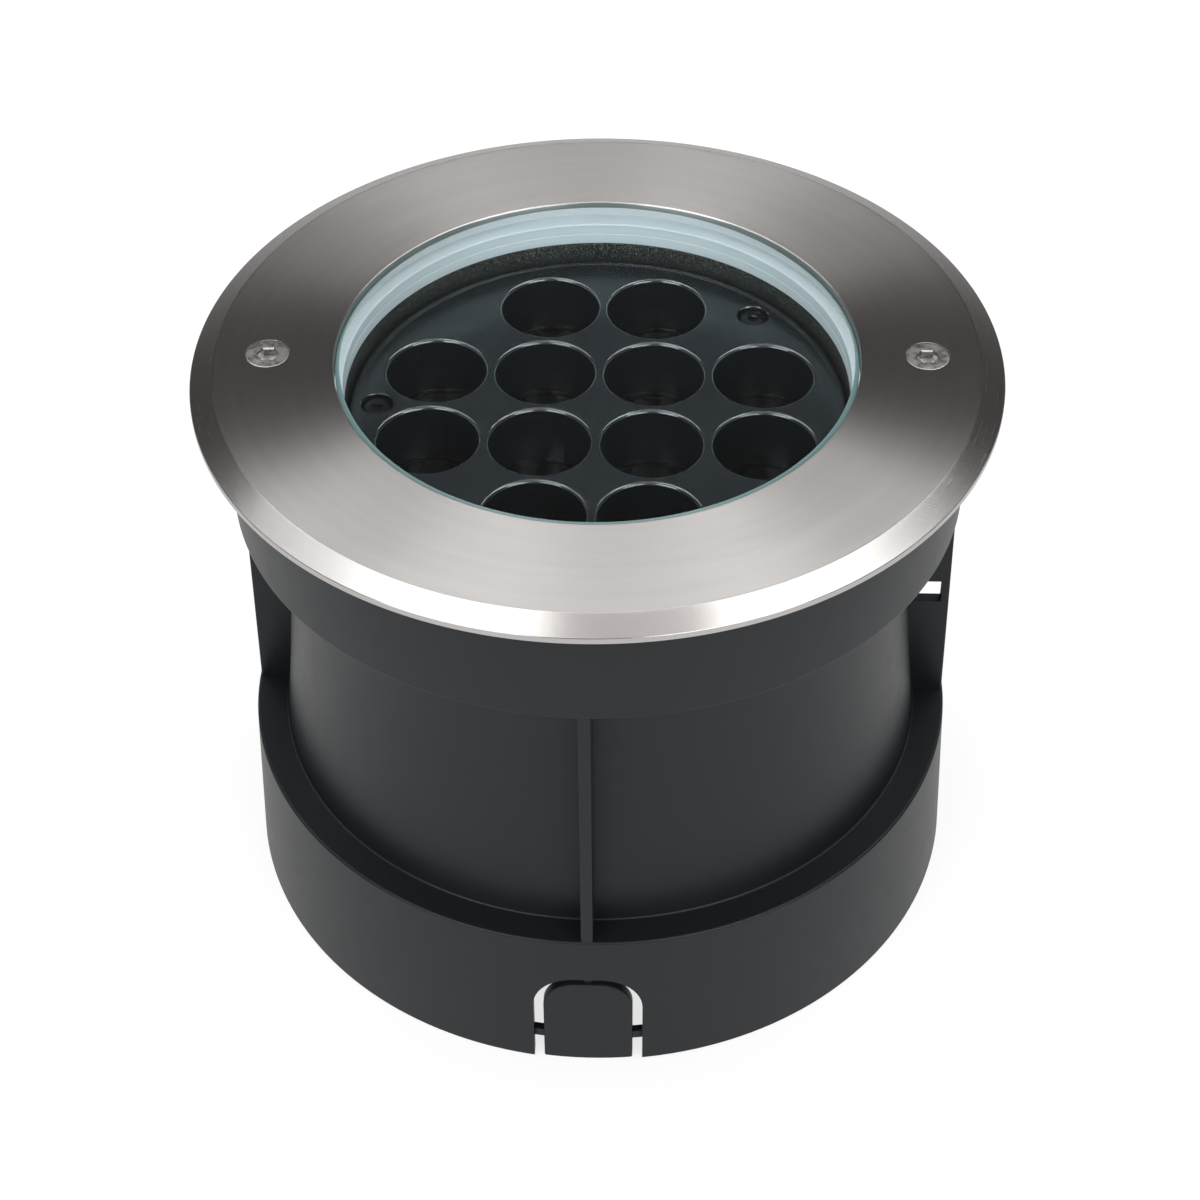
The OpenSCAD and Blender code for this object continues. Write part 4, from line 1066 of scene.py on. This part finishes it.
def gland_cap():
    """The gland's domed hexagon cap."""
    hex_w, chamfer, dome_r, tip_r, dome_h = 23 * MM, 0.7 * MM, 13.5 * MM, 9.5 * MM, 4 * MM
    mouth_r, hollow_r, floor_gap = 6.6 * MM, 9.1 * MM, 0.1 * MM
    low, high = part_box("gland_cap")
    seal_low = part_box("gland_seal")[0]
    cap = hexagon("cap hexagon", hex_w, low.z, high.z, chamfer)
    dome = turned("cap dome", [
        (0, low.z, 0), (tip_r, low.z, WIDE_EDGE), (dome_r, low.z + dome_h, WIDE_EDGE), (dome_r, high.z, 0),
        (0, high.z, 0)], closed=False, segments=WIDE_ROUND)
    mouth = through("cap mouth", mouth_r, low.z, high.z, MIDDLE_ROUND)
    hollow = rod("cap hollow", hollow_r, seal_low.z - floor_gap, high.z + OVER, segments=MIDDLE_ROUND)
    cap = shifted(cut(combined(cap, "INTERSECT", dome), mouth, hollow), *GLAND_PLACE)
    finished(cap, "gland_nut", "luminaire", "gland_plastic", "gland_cap")


def gland_seal():
    """The rubber sleeve that closes round the cable."""
    in_r, out_r = 4.25 * MM, 7.5 * MM
    low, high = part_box("gland_seal")
    seal = shifted(pipe("cable seal", in_r, out_r, low.z, high.z, FULL_EDGE, MIDDLE_ROUND), *GLAND_PLACE)
    finished(seal, "cable_seal", "luminaire", "black_rubber", "gland_seal")


def gland_gasket():
    """The flat washer between the gland and the housing."""
    out_r = 12 * MM
    washer = pipe("gland washer", GLAND_NUT_R, out_r, GLAND_GASKET_Z, CAN_Z, EDGE, MIDDLE_ROUND)
    finished(shifted(washer, *GLAND_PLACE), "gland_washer", "luminaire", "black_rubber", "gland_gasket")


def gland_locknut():
    """The brass nut that holds the gland from inside the housing."""
    nut_w, nut_h, chamfer = 22 * MM, 4 * MM, 0.8 * MM
    nut = hexagon("locknut hexagon", nut_w, FLOOR_Z, FLOOR_Z + nut_h, chamfer)
    bore = through("nut bore", GLAND_NUT_R, FLOOR_Z, FLOOR_Z + nut_h, MIDDLE_ROUND)
    nut = shifted(cut(nut, bore), *GLAND_PLACE)
    finished(nut, "gland_nut_inside", "luminaire", "brass", "gland_locknut")


# LED module

def quarter(radius, steps, last=1):
    """Points of a quarter circle, with or without the last: how far along and how far up each lies."""
    turns = [math.pi / 2 * i / steps for i in range(steps + last)]
    return [(radius * math.cos(turn), radius * math.sin(turn)) for turn in turns]


def well_cutter():
    """A well with its rim rounded into the plate's face."""
    well_r, rim, steps = 11.25 * MM, 0.9 * MM, 7
    arc = [(well_r + rim - along, PLATE_TOP_Z - rim + up, 0) for along, up in quarter(rim, steps)]
    return turned("well", [(0, TUBE_Z - OVER, 0), (well_r, TUBE_Z - OVER, 0), *arc,
                           (well_r + rim, PLATE_TOP_Z + OVER, 0), (0, PLATE_TOP_Z + OVER, 0)],
                  closed=False, segments=WIDE_ROUND)


def louvre_recess():
    """The recess of one of the plate's screws."""
    recess_r, mouth = 3.6 * MM, 0.3 * MM
    return turned("recess", [
        (0, PLATE_TOP_Z - RECESS_H, 0), (recess_r, PLATE_TOP_Z - RECESS_H, EDGE),
        (recess_r, PLATE_TOP_Z - mouth, FINE_EDGE), (recess_r + mouth, PLATE_TOP_Z, 0),
        (recess_r + mouth, PLATE_TOP_Z + OVER, 0), (0, PLATE_TOP_Z + OVER, 0)],
        closed=False, segments=MIDDLE_ROUND)


def louvre_plate():
    """The anti-glare plate with twelve deep wells and three screw recesses."""
    plate_r, plate_t, tube_r, cup_r = 56 * MM, 3 * MM, 12.3 * MM, 5 * MM
    bead, bead_w, bead_foot = 0.4 * MM, 0.9 * MM, 1.3 * MM
    low = PLATE_TOP_Z - plate_t
    plate = turned("plate", [(0, low, 0), (plate_r, low, EDGE), (plate_r, PLATE_TOP_Z + bead, EDGE),
                             (plate_r - bead_w, PLATE_TOP_Z + bead, EDGE),
                             (plate_r - bead_foot, PLATE_TOP_Z, EDGE), (0, PLATE_TOP_Z, 0)], closed=False)
    tube = rod("tube", tube_r, TUBE_Z, low + SINK, segments=WIDE_ROUND)
    cup = rod("cup", cup_r, PLATE_TOP_Z - CUP_LEN, PLATE_TOP_Z - SINK, segments=MIDDLE_ROUND)
    united(plate, at_wells(tube), at_cups(cup))
    hole = through("plate hole", M3_FREE_R, PLATE_TOP_Z - CUP_LEN, PLATE_TOP_Z)
    cut(plate, at_wells(well_cutter()), at_cups(louvre_recess()), at_cups(hole))
    finished(plate, "louvre", "led_module", "louvre_finish", "louvre_plate")


def plate_screws():
    """The three black screws that hold the louvre plate on the lens holder."""
    head_r, head_h = 3.2 * MM, 2.2 * MM
    screw = socket_screw("plate screw", M3_R, head_r, PLATE_SCREW_LEN, M3_SOCKET, pan_h=head_h)
    screw = at_cups(shifted(screw, z=PLATE_TOP_Z - RECESS_H))
    finished(screw, "louvre_screws", "led_module", "black_steel", "plate_screws")


def lenses():
    """The twelve clear collimators: a flat flange over a curved cone with a recess for the LED."""
    flange_r, flange_t, top_r, foot_r = 12.2 * MM, 2 * MM, 10.6 * MM, 4.5 * MM
    recess_r, recess_h = 2.4 * MM, 1.9 * MM
    low, high = LENS_LOW.z, LENS_HIGH.z
    steps, power = 12, 0.7
    rise = [i / steps for i in range(steps + 1)]
    cone = [(foot_r + (top_r - foot_r) * t ** power, low + t * (high - flange_t - low), 0) for t in rise]
    lens = turned("collimator", [
        (0, low + recess_h, 0), (recess_r, low + recess_h, FULL_EDGE), (recess_r, low, 0), *cone,
        (flange_r, high - flange_t, KEEN_EDGE), (flange_r, high, KEEN_EDGE), (0, high, 0)],
        closed=False, segments=MIDDLE_ROUND)
    finished(at_wells(lens), "collimators", "led_module", "clear_plastic", "lenses")


def lens_holder():
    """The black holder: a plate with a cup for each lens and three posts for the louvre's screws."""
    low, top = HOLDER_LOW.z, HOLDER_LOW.z + 2 * MM
    base_r, cup_r, cup_wall, cup_top = BOARD_HIGH.x - 1 * MM, 12.2 * MM, 1.2 * MM, LENS_HIGH.z - 2 * MM
    lobe_r, post_r, eye_r = 4.6 * MM, 3.5 * MM, 6.2 * MM
    base = rod("holder base", base_r, low, top, EDGE, segments=LARGE_ROUND)
    cup = rod("lens cup", cup_r, low, cup_top, FINE_EDGE, segments=MIDDLE_ROUND)
    lobe = rod("lobe", lobe_r, low, top, FINE_EDGE)
    post = rod("holder post", post_r, low + SINK, PLATE_TOP_Z - CUP_LEN, FINE_EDGE)
    united(base, at_wells(cup), at_cups(lobe), at_cups(post))
    hollow = rod("cup hollow", cup_r - cup_wall, top, cup_top + OVER, segments=MIDDLE_ROUND)
    eye = through("LED hole", eye_r, low, top, MIDDLE_ROUND)
    tap = rod("post hole", M3_TAP_R, PLATE_TOP_Z - RECESS_H - PLATE_SCREW_LEN - OVER, PLATE_TOP_Z)
    hole = through("screw hole", M3_FREE_R, low, top)
    cut(base, at_wells(hollow), at_wells(eye), at_cups(tap), at_board_screws(hole))
    finished(base, "holder", "led_module", "black_plastic", "lens_holder")


def led_board():
    """The round white board."""
    board = rod("board", BOARD_HIGH.x, BOARD_LOW.z, BOARD_HIGH.z, KEEN_EDGE, segments=LARGE_ROUND)
    hole = through("board hole", M3_FREE_R, BOARD_LOW.z, BOARD_HIGH.z)
    cut(board, at_board_screws(hole))
    finished(board, "light_board", "led_module", "board_white", "led_board")


def leds():
    """The twelve LEDs, each a square base under a dome."""
    side, base_h, base_edge, dome_r, dome_sink, steps = 1.75 * MM, 0.7 * MM, 0.12 * MM, 1.5 * MM, 0.3 * MM, 10
    base = block("LED base", (-side, -side, BOARD_HIGH.z), (side, side, BOARD_HIGH.z + base_h), base_edge)
    centre = BOARD_HIGH.z + base_h - dome_sink
    arc = [(along, centre + up, 0) for along, up in quarter(dome_r, steps, last=0)]
    dome = turned("LED dome", [(0, centre, 0), *arc, (0, centre + dome_r, 0)], closed=False,
                  segments=SMALL_ROUND)
    finished(at_wells(united(base, dome)), "led_chips", "led_module", "led_phosphor", "leds")


def board_screws():
    """The four screws through holder and board into the heat sink."""
    head_h = 2 * MM
    low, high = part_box("board_screws")
    screw = socket_screw("board screw", M3_R, M3_HEAD_R, high.z - low.z - head_h, M3_SOCKET, pan_h=head_h)
    screw = at_board_screws(shifted(screw, z=high.z - head_h))
    finished(screw, "board_screw_ring", "led_module", "screw_steel", "board_screws")


def heat_sink():
    """The finned heat sink with its two ears for the tilt hinge."""
    sink_t, sink_r, tab, rim, bore_floor = 4 * MM, 50 * MM, 6 * MM, 6 * MM, 3.1 * MM
    fin_t, fin_h, fin_pitch, fin_count = 1.6 * MM, 7 * MM, 6 * MM, 15
    ear_in, ear_out, ear_r, ear_steps = 50.5 * MM, 53.9 * MM, 4 * MM, 24
    top = BOARD_LOW.z
    low = top - sink_t
    pivot_z = SINK_HIGH.z - ear_r
    base = rod("sink base", sink_r, low, top, SOFT_EDGE, segments=LARGE_ROUND)
    fin = block("fin", (-fin_t / 2, -1, low - fin_h), (fin_t / 2, 1, low + SINK))
    fins = grown(fin, FINS, Count=fin_count, Pitch=fin_pitch, Radius=sink_r - rim)
    tabs = block("tabs", (-tab, -ear_out, low), (tab, ear_out, top), EDGE)
    turns = [math.pi * i / ear_steps for i in range(ear_steps + 1)]
    crown = [(ear_r * math.cos(turn), pivot_z + ear_r * math.sin(turn), 0) for turn in turns]
    ear = prism("ear", [(-ear_r, top - SINK, 0), (ear_r, top - SINK, 0), *crown], ear_in, ear_out)
    united(base, fins, tabs, ringed(eased(ear, SLIGHT_EDGE), 2))
    pin = moved(rod("pivot bore", M3_TAP_R, -ear_out - OVER, ear_out + OVER),
                Matrix.Rotation(math.pi / 2, 4, "X"))
    hole = rod("board screw bore", M3_TAP_R, top - bore_floor, top + OVER)
    cut(base, shifted(pin, z=pivot_z), at_board_screws(hole))
    finished(base, "sink", "led_module", "bare_aluminium", "heat_sink")


# Pieces that keep the frame's shape, with their edges eased

def dressed(node, name, body, slot, edge):
    """A copy of a CAD node with merged points, flat faces in one piece and eased edges."""
    mesh = frame["nodes"][node].data.copy()
    obj = new_object(name, mesh)
    work = bmesh.new()
    work.from_mesh(mesh)
    bmesh.ops.remove_doubles(work, verts=work.verts, dist=CAD_MERGE)
    bmesh.ops.dissolve_limit(work, angle_limit=FLAT, verts=work.verts, edges=work.edges)
    work.to_mesh(mesh)
    work.free()
    eased(obj, edge, angle=50)
    finished(obj, name, body, slot, node)


DRESSED = {
    "tilt_yoke": ("yoke", "luminaire", "bracket_steel", EDGE),
    "yoke_screws": ("yoke_screw_set", "luminaire", "screw_steel", HAIR_EDGE),
    "pivot_washers": ("washers", "luminaire", "brass", 0.06 * MM),
    "driver_case": ("driver_box", "luminaire", "driver_plastic", SLIGHT_EDGE),
    "driver_lid": ("driver_cover", "luminaire", "driver_plastic", SLIGHT_EDGE),
    "driver_board": ("driver_circuit", "luminaire", "board_green", HAIR_EDGE),
    "driver_screws": ("driver_screw_set", "luminaire", "screw_steel", HAIR_EDGE),
    "terminal_block": ("terminals", "luminaire", "terminal_plastic", SLIGHT_EDGE),
    "pivot_screws": ("pivot_screw_pair", "led_module", "screw_steel", HAIR_EDGE),
}


# Stage

def stage_floor():
    """A plain pale floor that keeps the object's shadow and looks white, near and far."""
    half, low, near, far = 6.0, -0.02 * MM, 0.7, 1.6
    grey, roughness, glow, mirror_glow = 0.3, 0.9, 0.76, 0.55
    mesh = bpy.data.meshes.new("floor")
    mesh.from_pydata([(-half, -half, low), (half, -half, low), (half, half, low), (-half, half, low)],
                     [], [(0, 1, 2, 3)])
    floor = new_object("floor", mesh)
    material, tree, shader, place = new_finish("floor", roughness, colour=(grey, grey, grey))
    distance = put(tree, "ShaderNodeVectorMath", {0: place}, operation="LENGTH").outputs["Value"]
    path = put(tree, "ShaderNodeLightPath").outputs
    direct = sum_of(tree, "MULTIPLY", path["Is Camera Ray"], spread(tree, distance, glow, 1, near, far))
    mirrored = sum_of(tree, "MULTIPLY", path["Is Glossy Ray"], mirror_glow)
    through = sum_of(tree, "MULTIPLY", path["Is Transmission Ray"], glow)
    strength = sum_of(tree, "MAXIMUM", direct, sum_of(tree, "MAXIMUM", mirrored, through))
    feed(tree, shader, {"Emission Color": (1, 1, 1, 1), "Emission Strength": strength})
    floor.data.materials.append(material)


def studio_world():
    """A dim room that is paler overhead and at the horizon, with a white background for the camera."""
    dim, overhead, horizon = 0.05, 0.55, 0.5
    overhead_start, overhead_end, horizon_end = 0.66, 0.82, 0.12
    room_tint, white = (1, 0.93, 0.91), (1, 1, 1)
    world = bpy.data.worlds.new("studio")
    bpy.context.scene.world = world
    world.use_nodes = True
    tree = world.node_tree
    height = height_of(tree, put(tree, "ShaderNodeTexCoord").outputs["Generated"])
    above = spread(tree, height, dim, overhead, overhead_start, overhead_end)
    below = spread(tree, height, horizon, dim, 0.0, horizon_end)
    seen = put(tree, "ShaderNodeLightPath").outputs["Is Camera Ray"]
    strength = sum_of(tree, "MAXIMUM", sum_of(tree, "MAXIMUM", above, below), seen)
    feed(tree, tree.nodes["Background"], {"Color": blend(tree, seen, room_tint, white), "Strength": strength})


CEILING_H = 1.5

# Power per square metre that gives a lamp a radiance of one
LAMP_POWER = 4

# Each ceiling box: its left, right, near and far edge as slopes, and its radiance
CEILING_BOXES = [
    ("left box", -0.57, -0.10, -0.09, 0.60, 2.2),
    ("right box", 0.24, 0.67, -0.09, 0.60, 2.2),
    ("back box", -0.10, 0.24, 0.30, 0.64, 2.5),
    ("left back box", -0.72, -0.40, 0.60, 0.84, 3.6),
    ("right back box", 0.40, 0.66, 0.60, 0.90, 3.6),
    ("left wing", -1.0, -0.57, 0.10, 0.60, 0.5),
]


def softbox(name, place, aim, width, depth, radiance):
    """A rectangular soft lamp that faces a point."""
    lamp = bpy.data.lights.new(name, "AREA")
    lamp.shape = "RECTANGLE"
    lamp.size = width
    lamp.size_y = depth
    lamp.energy = LAMP_POWER * width * depth * radiance
    obj = bpy.data.objects.new(name, lamp)
    bpy.context.scene.collection.objects.link(obj)
    obj.location = place
    obj.rotation_euler = (Vector(place) - Vector(aim)).to_track_quat("Z", "Y").to_euler()


def ceiling_box(name, left, right, near, far, radiance):
    """A soft lamp in the ceiling, with its edges as slopes from the trim's centre."""
    x, y = CEILING_H * (left + right) / 2, CEILING_H * (near + far) / 2
    width, depth = CEILING_H * (right - left), CEILING_H * (far - near)
    softbox(name, (x, y, TOP_Z + CEILING_H), (x, y, 0), width, depth, radiance)


def studio():
    """Soft boxes in the ceiling with a dim gap between them, and a soft fill from each side."""
    for name, left, right, near, far, radiance in CEILING_BOXES:
        ceiling_box(name, left, right, near, far, radiance)
    reach, height, swing = 1.47, 0.85, math.radians(35)
    width, depth, radiance = 1.1, 1.0, 2.9
    for side in (-1, 1):
        turn = swing * side
        place = (reach * math.sin(turn), -reach * math.cos(turn), TOP_Z + height)
        softbox("fill", place, (0, 0, TOP_Z), width, depth, radiance)


def camera():
    """The photograph's camera."""
    lens = bpy.data.cameras.new("camera")
    lens.sensor_width = SENSOR
    lens.lens = CAMERA_FOCUS
    obj = bpy.data.objects.new("camera", lens)
    bpy.context.scene.collection.objects.link(obj)
    obj.matrix_world = (Matrix.Translation(CAMERA_PLACE) @ Matrix.Rotation(CAMERA_TURN, 4, "Z")
                        @ Matrix.Rotation(math.pi / 2 - CAMERA_DOWN, 4, "X")
                        @ Matrix.Rotation(CAMERA_ROLL, 4, "Z"))
    bpy.context.scene.camera = obj


for make in (camera, sleeve, thread_inserts, trim, trim_screws, clamp_ring, glass, gasket, flange_seal,
             housing, gland_body, gland_cap, gland_seal, gland_gasket, gland_locknut, louvre_plate,
             plate_screws, lenses, lens_holder, led_board, leds, board_screws, heat_sink):
    make()
for node, (name, body, slot, edge) in DRESSED.items():
    dressed(node, name, body, slot, edge)
stage_floor()
studio_world()
studio()

bpy.context.scene.view_settings.view_transform = "Standard"
